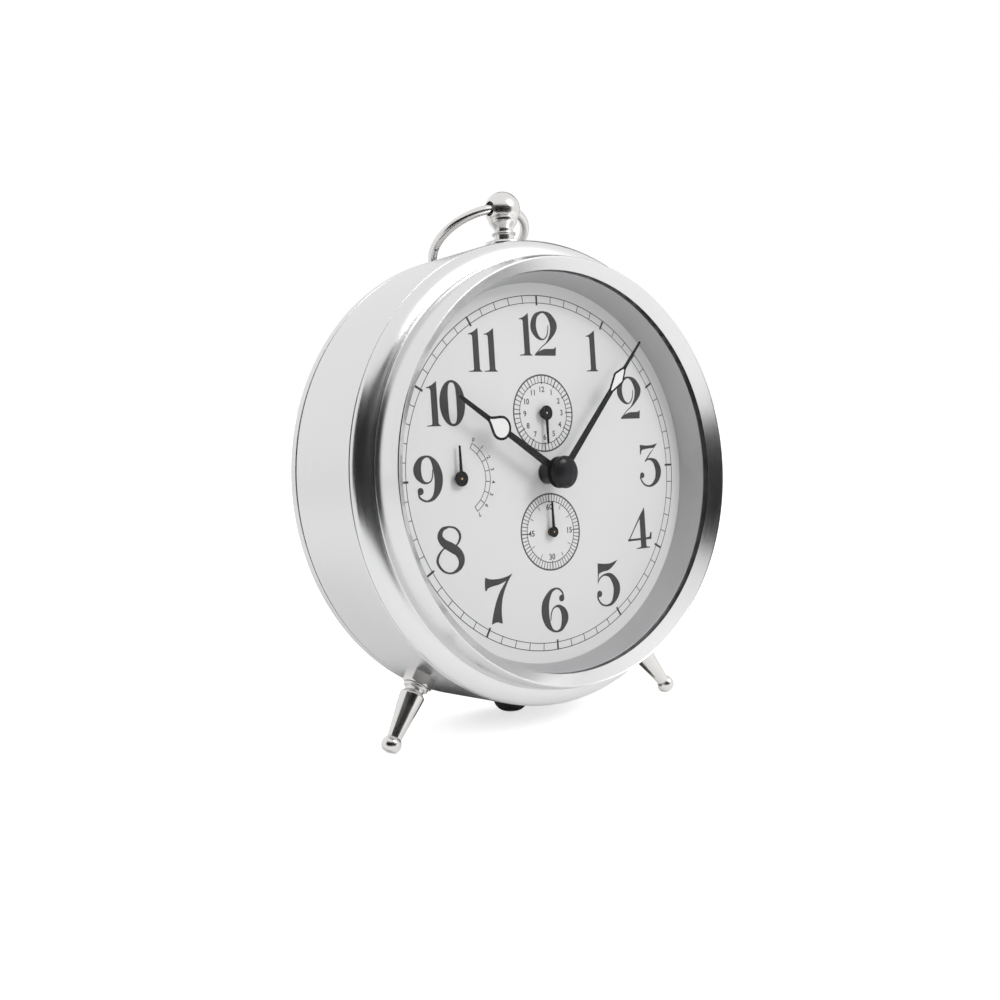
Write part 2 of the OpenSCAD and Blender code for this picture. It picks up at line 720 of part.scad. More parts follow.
/* Plates and what joins them */
plate_holes = [
  [third_at, train_pivot_r], [escape_at, fine_pivot_r], [lever_at, fine_pivot_r],
  [second_at, second_pivot_r], [star_at, train_pivot_r], [hammer_at, train_pivot_r],
  [alarm_at, alarm_r], [centre, centre_r], [barrel_at, barrel_pivot_r],
  [alarm_barrel_at, barrel_pivot_r]
];
pillar_screw_r = 1.2;
post_stud_r = 1.4;
module plate(y, holes) difference() {
  at(centre, y) cylinder(r = plate_r, h = plate_t, $fn = fine);
  for (c = holes) at(c[0], y - over) cylinder(r = c[1] + pivot_fit, h = plate_t + 2 * over);
}

stud_end = 0.5;
module front_plate() color(brass) {
  plate(plate_y, concat(
    plate_holes,
    [[fourth_at, fine_arbor_r], [balance_at, fine_pivot_r]],
    [for (p = dial_foot_at) [p, dial_foot_r]],
    [for (p = pillar_at) [p, pillar_screw_r]],
    [[bell_at, bell_screw_r - pivot_fit]]
  ));
  // Studs for the minute wheel, the idler and the power reserve wheel
  at(minute_at, motion_z - stud_end) cylinder(r = train_arbor_r, h = plate_y - motion_z + stud_end);
  at(idler_at, idler_z - stud_end) cylinder(r = stud_r, h = plate_y - idler_z + stud_end);
  at(reserve_at, -small_hand_front + hand_t)
    cylinder(r = stud_r, h = plate_y + small_hand_front - hand_t);
  // Post of the bell
  at(bell_at, inside_y) difference() {
    cylinder(r = bell_post_r, h = bell_crown_z);
    translate([0, 0, -over]) cylinder(r = bell_screw_r, h = bell_crown_z + 2 * over);
  }
}

balance_window_r = balance_r + 2;
module back_plate() color(brass) difference() {
  plate(back_y, concat(
    plate_holes,
    [[fourth_at, fine_pivot_r]],
    [for (p = pillar_at) [p, post_stud_r]],
    [[click_at, click_stud_r], [alarm_click_at, click_stud_r]],
    [[stop_at, stop_r + loose]]
  ));
  at(balance_at, back_y - over) cylinder(r = balance_window_r, h = plate_t + 2 * over);
  for (p = bridge_foot_at) at(p, back_y - over) cylinder(r = bridge_screw_r, h = plate_t + 2 * over);
}

post_r = 2.4;
module pillars() color(brass) for (p = pillar_at) difference() {
  union() {
    at(p, inside_y) cylinder(r = pillar_r, h = plates_apart);
    at(p, back_y) cylinder(r = post_stud_r, h = plate_t + post_stud_len);
  }
  at(p, inside_y - over) cylinder(r = pillar_screw_r, h = screw_len - plate_t + over + loose);
}
post_stud_len = 1.6;

// Screws of the pillars, the balance bridge and the bell
module movement_screws() color(steel) {
  for (p = pillar_at)
    at(p, plate_y) mirror([0, 0, 1]) screw(pillar_screw_r, screw_head_r, screw_head_h, screw_len);
  for (p = bridge_foot_at)
    at(p, behind_y + bridge_t) screw(bridge_screw_r, 2 * bridge_screw_r, bridge_t, bridge_t + plate_t);
  at(bell_at, inside_y + bell_crown_z + bell_wall)
    screw(bell_screw_r, screw_head_r, screw_head_h, plate_t + bell_crown_z + bell_wall);
}

// Posts on the pillars' studs, which the back cover is screwed to
module case_posts() color(brass) for (p = pillar_at) difference() {
  at(p, behind_y) cylinder(r = post_r, h = cover_in_y - behind_y);
  at(p, behind_y - over) cylinder(r = post_stud_r, h = post_stud_len + over);
  at(p, cover_y - screw_len) cylinder(r = cover_screw_r, h = screw_len + over);
}

/* Winding and the mainspring */
key_stem_r = 1.8;
drum_front_z = great_z + great_t;
barrel_h = 6.2;
barrel_wall = 0.7;
cap_t = 0.6;
bore_fit = 0.06;
spring_hub_r = 4;
ratchet_t = 1;
ratchet_gap = 0.3;
ratchet_r = 7;
ratchet_tooth = 0.7;
square_r = 1.9;
stem_end = 4;

// A spring barrel: toothed wheel and drum in one, about its arbor. Its lid is pressed in.
module spring_barrel(n, m, r, turn) {
  rotate(turn) translate([0, 0, great_z]) linear_extrude(great_t) difference() {
    gear_outline(n, m);
    circle(r = barrel_arbor_r + bore_fit);
  }
  translate([0, 0, drum_front_z]) difference() {
    cylinder(r = r, h = barrel_h);
    translate([0, 0, -over]) cylinder(r = r - barrel_wall, h = barrel_h + 2 * over);
  }
}
module barrel_lid(r) translate([0, 0, drum_front_z + barrel_h]) difference() {
  cylinder(r = r, h = cap_t);
  translate([0, 0, -over]) cylinder(r = barrel_arbor_r + bore_fit, h = cap_t + 2 * over);
}
module coiled_spring(r, turns) translate([0, 0, drum_front_z + loose]) mirror([0, 1, 0])
  spiral(spring_hub_r, r - barrel_wall - mainspring_t, turns, mainspring_t, barrel_h - 2 * loose);

// Winding arbor: pivots in both plates, a square for the ratchet and a stem for the key
module winding_arbor(front) {
  translate([0, 0, end_shake]) cylinder(r = barrel_arbor_r, h = plates_apart - 2 * end_shake);
  translate([0, 0, -plate_t - front]) cylinder(r = barrel_pivot_r, h = plates_apart + 2 * plate_t + front);
  translate([0, 0, plates_apart + plate_t]) cylinder(r = square_r, h = ratchet_gap + ratchet_t);
  translate([0, 0, plates_apart + plate_t])
    cylinder(r = key_stem_r, h = cover_y + stem_end - behind_y);
}

module mainspring_barrel() color(brass) at(barrel_at, inside_y) {
  spring_barrel(great_n, great_m, barrel_r, great_turn);
  barrel_lid(barrel_r);
}
module mainspring() color(blued) at(barrel_at, inside_y) coiled_spring(barrel_r, mainspring_turns);
module barrel_arbor() color(steel) {
  at(barrel_at, inside_y) winding_arbor(slide_fit);
  at(barrel_at, idler_z - pinion_more)
    pinion(reserve_pinion_n, reserve_m, wheel_t + 2 * pinion_more);
  at(barrel_at, idler_z) cylinder(r = 2 * stud_r, h = plate_y - idler_z);
}
module winding_ratchet() translate([0, 0, ratchet_gap]) linear_extrude(ratchet_t) difference() {
  ratchet_outline(ratchet_n, ratchet_r, ratchet_tooth);
  circle(r = square_r);
}
module ratchet_wheel() color(steel) at(barrel_at, behind_y) winding_ratchet();

// Click: a pawl that rides on the ratchet's teeth, on a shouldered stud
click_stud_r = 1.2;
click_len = 6.5;
click_w = 1.6;
click_head_r = 2;
click_tip_gap = 0.35;
click_dir = 150;
alarm_click_dir = 40;
click_reach = sqrt(pow(ratchet_r + click_tip_gap + click_w / 2, 2) + click_len * click_len);
click_at = barrel_at + polar(click_dir, click_reach);
alarm_click_at = alarm_barrel_at + polar(alarm_click_dir, click_reach);
// Pawl about its stud; its beak lies square to the ratchet's radius
module pawl(from, to) {
  beak = atan2(ratchet_r + click_tip_gap + click_w / 2, click_len);
  translate([0, 0, -plate_t]) cylinder(r = click_stud_r, h = plate_t + ratchet_gap + ratchet_t);
  translate([0, 0, ratchet_gap]) {
    cylinder(r = click_head_r, h = ratchet_t);
    rotate(toward(from, to) - 90 - beak) translate([-click_w / 2, 0, 0])
      linear_extrude(ratchet_t) polygon([
        [0, 0], [click_w, 0], [click_w, click_len], [0, click_len - click_w]
      ]);
  }
}
module click() color(steel) at(click_at, behind_y) pawl(click_at, barrel_at);

/* Going train */
module centre_wheel() color(brass) at(centre, inside_y) {
  difference() {
    union() {
      translate([0, 0, centre_z]) wheel(centre_n, centre_m, wheel_t, hub_r);
      translate([0, 0, centre_z]) cylinder(r = sleeve_r, h = second_z - centre_z);
      translate([0, 0, second_z - pinion_more])
        pinion(centre_pinion_n, second_m, wheel_t + 2 * pinion_more);
    }
    translate([0, 0, centre_z - over]) cylinder(r = centre_r + bore_fit, h = plates_apart);
  }
}
module second_wheel() color(brass) at(second_at, inside_y) rotate(second_turn) {
  translate([0, 0, second_z]) wheel(second_n, second_m, wheel_t, hub_r);
  arbor(second_arbor_r, second_pivot_r);
  translate([0, 0, great_z - pinion_more])
    pinion(second_pinion_n, great_m, great_t + 2 * pinion_more);
}
module third_wheel() color(brass) at(third_at, inside_y) rotate(third_turn) {
  translate([0, 0, third_z]) wheel(third_n, third_m, wheel_t, hub_r);
  arbor(train_arbor_r, train_pivot_r);
  translate([0, 0, centre_z - pinion_more])
    pinion(third_pinion_n, centre_m, wheel_t + 2 * pinion_more);
}
// Fourth wheel: its arbor runs on through the dial and carries the seconds hand
module fourth_wheel() color(brass) {
  at(fourth_at, inside_y) rotate(fourth_turn) {
    translate([0, 0, fourth_z]) wheel(fourth_n, fourth_m, wheel_t, fine_arbor_r * 2);
    translate([0, 0, end_shake]) cylinder(r = fine_arbor_r, h = plates_apart - 2 * end_shake);
    translate([0, 0, plates_apart / 2]) cylinder(r = fine_pivot_r, h = plates_apart / 2 + plate_t);
    translate([0, 0, third_z - pinion_more])
      pinion(fourth_pinion_n, third_m, wheel_t + 2 * pinion_more);
  }
  at(fourth_at, -small_hand_front - hand_t)
    cylinder(r = fine_arbor_r, h = small_hand_front + hand_t + inside_y + third_z);
}

/* Escapement */
escape_t = 0.6;
tooth_hook = 9;
escape_rim = 1;
module escape_wheel() color(brass) at(escape_at, inside_y) rotate(escape_turn) {
  translate([0, 0, escape_z]) linear_extrude(escape_t) difference() {
    polygon([for (i = [0:escape_n - 1]) let (a = 360 * i / escape_n, q = escape_r - escape_rim)
      each [[escape_r * cos(a), escape_r * sin(a)], [q * cos(a + tooth_hook), q * sin(a + tooth_hook)],
            [q * cos(a + 2 * tooth_hook), q * sin(a + 2 * tooth_hook)]]]);
    difference() {
      circle(escape_r - 2 * escape_rim);
      circle(2 * fine_arbor_r);
      for (i = [0:spokes - 2]) rotate(360 * i / (spokes - 1)) translate([0, -escape_rim / 2])
        square([escape_r - escape_rim, escape_rim]);
    }
  }
  arbor(fine_arbor_r, fine_pivot_r);
  translate([0, 0, fourth_z - pinion_more])
    pinion(escape_pinion_n, fourth_m, wheel_t + 2 * pinion_more);
}

// Pin-pallet lever: two steel pins beside the escape wheel's teeth, and a fork for the balance
pallet_pin_r = 0.25;
pallet_gap = 0.6;
pallet_turn = 42;
lever_w = 1.2;
fork_w = 2.4;
fork_gap = 0.5;
roller_r = 1.5;
fork_reach = lever_to_balance - roller_r - 2 * loose;
// The pins stand a named gap outside the circle of the escape wheel's teeth
pin_circle = escape_r + pallet_gap + pallet_pin_r;
pin_place = [escape_to_lever - pin_circle * cos(pallet_turn), pin_circle * sin(pallet_turn)];
pallet_arm = norm(pin_place);
pallet_arm_turn = atan2(pin_place[1], pin_place[0]);
module pallet_lever() color(steel) at(lever_at, inside_y) rotate(toward(lever_at, balance_at)) {
  arbor(fine_arbor_r, fine_pivot_r);
  translate([0, 0, escape_z]) linear_extrude(escape_t) difference() {
    union() {
      circle(2 * fine_arbor_r);
      translate([0, -lever_w / 2]) square([fork_reach, lever_w]);
      translate([fork_reach - fork_w / 2, -fork_w / 2]) square([fork_w / 2, fork_w]);
      for (s = [-1, 1]) rotate(180 + s * pallet_arm_turn) translate([0, -lever_w / 2])
        square([pallet_arm, lever_w]);
    }
    translate([fork_reach - fork_gap * 2, -fork_gap / 2]) square([3 * fork_gap, fork_gap]);
  }
  for (s = [-1, 1]) rotate(180 + s * pallet_arm_turn)
    translate([pallet_arm - pallet_pin_r, 0, escape_z])
    cylinder(r = pallet_pin_r, h = escape_t + pinion_more);
}

balance_t = 1;
balance_rim = 1.1;
balance_arm = 1.4;
collet_r = 1.1;
staff_r = 0.8;
module balance_wheel() color(brass) at(balance_at, inside_y) {
  translate([0, 0, balance_z]) linear_extrude(balance_t) difference() {
    circle(balance_r, $fn = fine);
    difference() {
      circle(balance_r - balance_rim, $fn = fine);
      circle(2 * staff_r);
      for (i = [0:2]) rotate(line_dir + 120 * i) translate([0, -balance_arm / 2])
        square([balance_r, balance_arm]);
    }
  }
  translate([0, 0, end_shake]) cylinder(r = staff_r, h = plates_apart + plate_t - 2 * end_shake);
  translate([0, 0, -plate_t]) cylinder(r = fine_pivot_r, h = plates_apart + 3 * plate_t);
  translate([0, 0, hairspring_z]) cylinder(r = collet_r, h = hairspring_h);
  // Roller in front of the fork
  translate([0, 0, escape_z + escape_t + pinion_more]) cylinder(r = roller_r, h = escape_t);
}
hairspring_z = 9.4;
hairspring_h = 1;
hairspring_t = 0.14;
collet_gap = 0.45;
module hairspring() color(blued) {
  at(balance_at, inside_y + hairspring_z)
    spiral(collet_r + collet_gap + hairspring_t, hairspring_r, hairspring_turns, hairspring_t,
           hairspring_h);
  at(balance_at, inside_y + hairspring_z) translate([hairspring_r - hairspring_t, 0, 0])
    cylinder(r = stud_r, h = behind_y - inside_y - hairspring_z);
}

// Balance bridge, screwed to the back plate across the balance's window
bridge_w = 6;
bridge_t = 1.2;
bridge_screw_r = 0.8;
bridge_dir = 25;
bridge_half = balance_window_r + 3 * bridge_screw_r;
bridge_foot_at = [for (s = [0, 180]) balance_at + polar(bridge_dir + s, bridge_half)];
module balance_bridge() color(brass) at(balance_at, behind_y) rotate(bridge_dir - 90) difference() {
  union() {
    linear_extrude(bridge_t) {
      translate([-bridge_half, -bridge_w / 2]) square([2 * bridge_half, bridge_w]);
      for (s = [-1, 1]) translate([s * bridge_half, 0]) circle(bridge_w / 2);
    }
    cylinder(r = boss_r, h = bridge_t + boss_h);
  }
  translate([0, 0, -over]) cylinder(r = fine_pivot_r + pivot_fit, h = bridge_t + boss_h + 2 * over);
  for (s = [-1, 1]) translate([s * bridge_half, 0, -over])
    cylinder(r = bridge_screw_r, h = bridge_t + 2 * over);
}

// Regulator: turns about the balance's axis on a boss of the bridge, its index behind the slot
regulator_t = 0.5;
regulator_w = 1.4;
regulator_hub_r = 2.2;
boss_r = 1.5;
boss_h = 1.1;
index_h = 2.6;
module regulator() color(steel) at(balance_at, behind_y + bridge_t) rotate(line_dir) {
  linear_extrude(regulator_t) difference() {
    union() {
      circle(regulator_hub_r);
      translate([0, -regulator_w / 2]) square([index_r, regulator_w]);
    }
    circle(boss_r + bore_fit);
  }
  translate([index_r, 0, 0]) cylinder(r = regulator_w / 2, h = index_h);
}

/* Work under the dial */
// Gaps from the dial's back to the hour wheel and to the power reserve wheel
motion_gap = 1.3;
reserve_gap = 1.6;
motion_z = dial_t + motion_gap;
reserve_z = dial_t + reserve_gap;
// Depths of the minute wheel and the idler behind the dial's face
minute_z = 3.6;
idler_z = 4.1;
hour_pipe_r = centre_r + slide_fit + 2 * pipe_wall;
module centre_arbor() color(steel) {
  at(centre, -minute_hand_front - hand_t - cap_grip)
    cylinder(r = centre_r, h = cap_grip + hand_t + minute_hand_front + cover_y + stem_end);
  at(centre, minute_z - pinion_more) pinion(cannon_n, motion_m, wheel_t + 2 * pinion_more);
}
// Clutch spring: a bowed washer that presses the centre wheel, so that the hands can be set
clutch_t = 0.4;
clutch_r = 3;
module clutch_spring() color(blued) at(centre, inside_y + end_shake) difference() {
  union() {
    cylinder(r = clutch_r, h = clutch_t);
    cylinder(r = hub_r - bore_fit, h = centre_z - end_shake - loose / 2);
  }
  translate([0, 0, -over]) cylinder(r = centre_r, h = centre_z + 2 * over);
}
module minute_wheel() color(brass) at(minute_at, 0) rotate(minute_turn) difference() {
  union() {
    translate([0, 0, minute_z]) wheel(minute_n, motion_m, wheel_t, hub_r);
    translate([0, 0, motion_z]) pinion(minute_pinion_n, motion_m, minute_z - motion_z + wheel_t);
  }
  cylinder(r = train_arbor_r + bore_fit, h = plate_y);
}
module hour_wheel() color(brass) at(centre, 0) rotate(hour_turn) difference() {
  union() {
    translate([0, 0, motion_z]) wheel(hour_n, motion_m, wheel_t, hour_pipe_r + pipe_wall);
    translate([0, 0, -hour_hand_front - hand_t])
      cylinder(r = hour_pipe_r, h = hour_hand_front + hand_t + motion_z + wheel_t);
  }
  translate([0, 0, -hour_hand_front - hand_t - over])
    cylinder(r = centre_r + slide_fit, h = 2 * hour_hand_front + plate_y);
}
module reserve_idler() color(brass) at(idler_at, 0) rotate(idler_turn) difference() {
  union() {
    translate([0, 0, idler_z]) wheel(idler_n, reserve_m, wheel_t, hub_r);
    translate([0, 0, reserve_z - pinion_more])
      pinion(idler_pinion_n, reserve_m, idler_z - reserve_z + pinion_more);
  }
  cylinder(r = stud_r + bore_fit, h = plate_y);
}
reserve_pipe_r = stud_r + bore_fit + pipe_wall / 2;
module reserve_wheel() color(brass) at(reserve_at, 0) rotate(reserve_turn) difference() {
  union() {
    translate([0, 0, reserve_z]) wheel(reserve_n, reserve_m, wheel_t, hub_r);
    translate([0, 0, -small_hand_front - hand_t])
      cylinder(r = reserve_pipe_r, h = small_hand_front + hand_t + reserve_z + wheel_t);
  }
  translate([0, 0, -small_hand_front]) cylinder(r = stud_r + bore_fit, h = plate_y + small_hand_front);
}

/* Alarm */
module alarm_wheel() color(brass) at(alarm_at, 0) rotate(alarm_wheel_turn) difference() {
  translate([0, 0, motion_z]) wheel(hour_n, motion_m, wheel_t, hub_r);
  cylinder(r = alarm_r + bore_fit, h = plate_y);
}
cam_r = 2.2;
cam_h = 0.9;
module alarm_arbor() color(steel) {
  at(alarm_at, -small_hand_front - hand_t)
    cylinder(r = alarm_r, h = cover_y + stem_end + small_hand_front + hand_t);
  at(alarm_at, motion_z + wheel_t + loose) cylinder(r = cam_r, h = cam_h);
}
module alarm_barrel() color(brass) at(alarm_barrel_at, inside_y) {
  spring_barrel(alarm_great_n, alarm_m, alarm_barrel_r, 0);
  barrel_lid(alarm_barrel_r);
}
module alarm_spring() color(blued)
  at(alarm_barrel_at, inside_y) coiled_spring(alarm_barrel_r, alarm_spring_turns);
module alarm_barrel_arbor() color(steel) at(alarm_barrel_at, inside_y) winding_arbor(0);
module alarm_ratchet() color(steel) at(alarm_barrel_at, behind_y) winding_ratchet();
module alarm_click() color(steel) at(alarm_click_at, behind_y) pawl(alarm_click_at, alarm_barrel_at);

star_r = 5.2;
star_tooth = 1.3;
star_t = 0.8;
module star_wheel() color(brass) at(star_at, inside_y) rotate(star_turn) {
  arbor(train_arbor_r, train_pivot_r);
  translate([0, 0, great_z - pinion_more]) pinion(star_pinion_n, alarm_m, great_t + 2 * pinion_more);
  translate([0, 0, star_z]) linear_extrude(star_t) knurled(star_n, star_r, star_tooth);
}

// Hammer: a verge beside the star wheel, an arm and a head beside the bell's rim
hammer_head_r = 1.9;
hammer_head_h = 4;
hammer_z = 5.6;
hammer_arm_w = 1.4;
hammer_arm_t = 0.8;
hammer_gap = 1;
hammer_head_at = bell_at
  + (bell_r + hammer_gap + hammer_head_r) * (hammer_at - bell_at) / norm(hammer_at - bell_at);
hammer_arm_len = norm(hammer_at - hammer_head_at);
verge_half = 2;
verge_gap = 0.7;
verge_reach = star_to_hammer - star_r - verge_gap;
module hammer() color(steel) at(hammer_at, inside_y) {
  arbor(train_arbor_r, train_pivot_r);
  rotate(toward(hammer_at, hammer_head_at)) {
    translate([0, -hammer_arm_w / 2, hammer_z]) cube([hammer_arm_len, hammer_arm_w, hammer_arm_t]);
    translate([hammer_arm_len, 0, hammer_z]) cylinder(r = hammer_head_r, h = hammer_head_h);
  }
  rotate(toward(hammer_at, star_at)) translate([0, 0, star_z]) linear_extrude(star_t)
    polygon([[0, -verge_half], [verge_reach, -verge_half], [verge_reach - hammer_arm_w, 0],
             [verge_reach, verge_half], [0, verge_half]]);
}

// Bell: a cup screwed to a post on the front plate, its mouth to the back
bell_wall = 1;
bell_crown_z = 2.5;
bell_round = 3.5;
bell_screw_r = 1;
bell_post_r = 2;
module bell() color(steel) at(bell_at, inside_y + bell_crown_z)
  rotate_extrude($fn = fine) polygon(concat(
    [[bell_screw_r, 0]],
    [for (i = [0:round_steps]) let (t = -90 + 90 * i / round_steps)
      [bell_r - bell_round + bell_round * cos(t), bell_round + bell_round * sin(t)]],
    [[bell_r, bell_depth], [bell_r - bell_wall, bell_depth]],
    [for (i = [round_steps:-1:0]) let (t = -90 + 90 * i / round_steps)
      [bell_r - bell_round + (bell_round - bell_wall) * cos(t),
       bell_round + (bell_round - bell_wall) * sin(t)]],
    [[bell_screw_r, bell_wall]]
  ));

// Stop button: a rod that slides through the cover and the back plate
stop_r = 1.2;
stop_head_r = 3;
stop_head_h = 2;
stop_in = 4;
module stop_button() color(chrome) {
  at(stop_at, back_y - stop_in)
    cylinder(r = stop_r, h = stop_in + cover_y + loose + stop_head_h / 2 - back_y);
  at(stop_at, cover_y + loose) cylinder(r = stop_head_r, h = stop_head_h);
  // Collar that stops the button when it is pulled out
  at(stop_at, cover_in_y - stop_travel - 2 * loose)
    cylinder(r = stop_r + shaft_hole_fit + loose, h = loose);
}

/* Keys and knobs */
knob_gap = 0.5;
key_t = 1.6;
key_hub_r = 3;
key_lobe_r = 4.6;
knob_ridge = 0.35;
knob_ridges = 28;
// Butterfly key on a winding stem
module winding_key() {
  difference() {
    union() {
      cylinder(r = key_hub_r, h = key_len - key_lobe_r);
      rotate([90, 0, 0]) translate([0, 0, -key_t / 2]) linear_extrude(key_t) {
        for (s = [-1, 1]) translate([s * (key_half_w - key_lobe_r), key_len - key_lobe_r - knob_gap])
          circle(key_lobe_r);
        translate([key_lobe_r - key_half_w, key_len - 2 * key_lobe_r])
          square([2 * (key_half_w - key_lobe_r), key_lobe_r]);
      }
    }
    translate([0, 0, -over]) cylinder(r = key_stem_r, h = stem_end - knob_gap + over);
  }
}
module time_key() color(steel) at(barrel_at, cover_y + knob_gap) winding_key();
module alarm_key() color(steel) at(alarm_barrel_at, cover_y + knob_gap) winding_key();

// Knurled knob with a bored hub
module knob(r, bore_r) difference() {
  linear_extrude(knob_len) knurled(knob_ridges, r, knob_ridge);
  translate([0, 0, -over]) cylinder(r = bore_r, h = stem_end - knob_gap + over);
}
module set_knob() color(steel) at(centre, cover_y + knob_gap) knob(set_knob_r, centre_r);
module alarm_knob() color(steel) at(alarm_at, cover_y + knob_gap) knob(alarm_knob_r, alarm_r);

/* Hands */
// A hand that points at clock angle a, drawn outwards along y
module hand_at(p, front, a) at(p, -front) rotate(180 + a) children();
hour_angle = shown_minutes / 2;
minute_angle = 6 * (shown_minutes % 60);

// Closed outline, symmetric about y, from [half width, distance] points
module spear(points) polygon(concat(points, [for (p = reverse(points)) [-p[0], p[1]]]));
// Pear from y0 to y1 with its round end of radius r at y0, narrowing to half width w
function pear(y0, y1, r, w, steps = 14) = concat(
  [for (i = [0:steps / 2]) let (t = 180 * i / steps) [r * sin(t), y0 + r - r * cos(t)]],
  [for (i = [1:steps]) let (t = i / steps)
    [w + (r - w) * (1 + cos(180 * t)) / 2, y0 + r + (y1 - y0 - r) * t]]
);
hour_hub_r = 3.7;
// Half widths of the stem at the hub and at the pear, and of the tip at the pear and at its end
hour_stem = [1.1, 0.8];
hour_tip = [0.85, 0.5];
// Shares of the hand's length at which the pear starts and ends
pear_shares = [0.51, 0.74];
pear_half = 3.2;
frame_w = 0.65;
pear_from = hour_hand_len * pear_shares[0];
pear_to = hour_hand_len * pear_shares[1];
module hour_hand() color(black) hand_at(centre, hour_hand_front + hand_t, hour_angle)
  linear_extrude(hand_t) difference() {
    union() {
      circle(hour_hub_r);
      spear([[hour_stem[0], 0], [hour_stem[1], pear_from], [hour_stem[1], pear_from + frame_w]]);
      spear(pear(pear_from, pear_to, pear_half, hour_tip[0]));
      spear([[hour_tip[0], pear_to - frame_w], [hour_tip[1], hour_hand_len]]);
    }
    circle(hour_pipe_r);
    spear(pear(pear_from + frame_w, pear_to - frame_w, pear_half - frame_w, 0));
  }

minute_hub_r = 3;
minute_stem = [0.95, 0.6];
minute_tip = [0.5, 0.3];
// Shares of the hand's length at which the diamond starts, is widest and ends
diamond_shares = [0.6, 0.715, 0.8];
diamond_half = 1.95;
diamond_frame = 0.5;
diamond_at = minute_hand_len * diamond_shares;
module minute_hand() color(black) hand_at(centre, minute_hand_front + hand_t, minute_angle)
  linear_extrude(hand_t) difference() {
    union() {
      circle(minute_hub_r);
      spear([
        [minute_stem[0], 0],
        [minute_stem[1], diamond_at[0]],
        [diamond_half, diamond_at[1]],
        [minute_tip[0], diamond_at[2]],
        [minute_tip[1], minute_hand_len]
      ]);
    }
    circle(centre_r);
    spear([
      [0, diamond_at[0] + 2 * diamond_frame],
      [diamond_half - diamond_frame, diamond_at[1]],
      [0, diamond_at[2] - diamond_frame]
    ]);
  }

// Cap over the hands: a grooved disc with a domed top, pressed onto the centre arbor
cap_grip = 1;
cap_groove = 0.4;
module hand_cap() color(black) at(centre, -minute_hand_front - hand_t) mirror([0, 0, 1]) difference() {
  rotate_extrude($fn = fine) polygon(concat(
    [[0, 0], [cap_r - cap_groove, 0], [cap_r, cap_groove], [cap_r, 2 * cap_groove],
     [cap_r - cap_groove, 2 * cap_groove], [cap_r - cap_groove, 3 * cap_groove]],
    arc([0, 3 * cap_groove], cap_r - cap_groove, cap_h - 3 * cap_groove, 0, 90)
  ));
  translate([0, 0, -over]) cylinder(r = centre_r, h = cap_grip + over);
}

small_hub_r = 1.9;
seconds_hub_r = 1.4;
small_hand_w = [0.4, 0.22];
module small_hand(len, hub, bore) linear_extrude(hand_t) difference() {
  union() {
    circle(hub);
    spear([[small_hand_w[0], 0], [small_hand_w[1], len]]);
  }
  circle(bore);
}
module seconds_hand() color(black) hand_at(fourth_at, small_hand_front + hand_t, 0)
  small_hand(small_hand_len, seconds_hub_r, fine_arbor_r);
module alarm_hand() color(black) hand_at(alarm_at, small_hand_front + hand_t, 180)
  small_hand(small_hand_len, small_hub_r, alarm_r);
module reserve_hand() color(black) hand_at(reserve_at, small_hand_front + hand_t, 0)
  small_hand(reserve_hand_len, small_hub_r, reserve_pipe_r);

case_drum();
front_bezel();
glass();
inner_ring();
dial();
back_cover();
cover_screws();
leg_left();
leg_right();
rear_foot();
case_nuts();
finial();
top_ring();
front_plate();
back_plate();
pillars();
movement_screws();
case_posts();
mainspring_barrel();
mainspring();
barrel_arbor();
ratchet_wheel();
click();
second_wheel();
centre_wheel();
centre_arbor();
clutch_spring();
third_wheel();
fourth_wheel();
escape_wheel();
pallet_lever();
balance_wheel();
hairspring();
balance_bridge();
regulator();
minute_wheel();
hour_wheel();
reserve_idler();
reserve_wheel();
alarm_wheel();
alarm_arbor();
alarm_barrel();
alarm_spring();
alarm_barrel_arbor();
alarm_ratchet();
alarm_click();
star_wheel();
hammer();
bell();
stop_button();
time_key();
alarm_key();
set_knob();
alarm_knob();
hour_hand();
minute_hand();
seconds_hand();
alarm_hand();
reserve_hand();
hand_cap();
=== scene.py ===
# %% [markdown]
# # A mechanical alarm clock
# The solids of this clock come from a CAD model, which gives the sizes, the places and the way
# that each piece moves. This script adds what a camera sees: spun metal, plated turnings, a
# printed dial, lacquered hands and a domed glass. Each piece made here rides on a body of the
# model, so it moves with the joint that it belongs to.

# %% Load the frame
import json
import math
import bpy
import bmesh
import numpy as np
from mathutils import Matrix, Vector


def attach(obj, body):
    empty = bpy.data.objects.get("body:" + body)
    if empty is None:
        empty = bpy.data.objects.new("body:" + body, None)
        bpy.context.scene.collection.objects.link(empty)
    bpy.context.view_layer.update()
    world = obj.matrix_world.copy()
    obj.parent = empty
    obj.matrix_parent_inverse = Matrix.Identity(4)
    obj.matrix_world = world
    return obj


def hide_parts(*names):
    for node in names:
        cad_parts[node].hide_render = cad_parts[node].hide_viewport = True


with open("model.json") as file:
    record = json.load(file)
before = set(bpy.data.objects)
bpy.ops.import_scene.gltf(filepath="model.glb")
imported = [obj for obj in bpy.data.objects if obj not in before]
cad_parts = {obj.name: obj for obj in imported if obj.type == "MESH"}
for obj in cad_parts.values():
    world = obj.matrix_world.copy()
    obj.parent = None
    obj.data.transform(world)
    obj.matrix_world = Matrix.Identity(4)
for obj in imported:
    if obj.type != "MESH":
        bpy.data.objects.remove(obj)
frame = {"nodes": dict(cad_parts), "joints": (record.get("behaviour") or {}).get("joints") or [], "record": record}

scene = bpy.context.scene
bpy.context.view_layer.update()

# %% [markdown]
# ## The dial's own frame
# A clock is easiest to draw flat, in millimetres. Its dial is the plane y = 0, x runs to the
# right, y back into the case and z up to twelve. The finished clock leans back on its legs, so
# every point is turned and lifted as the last step, by the place and lean of the minute joint.

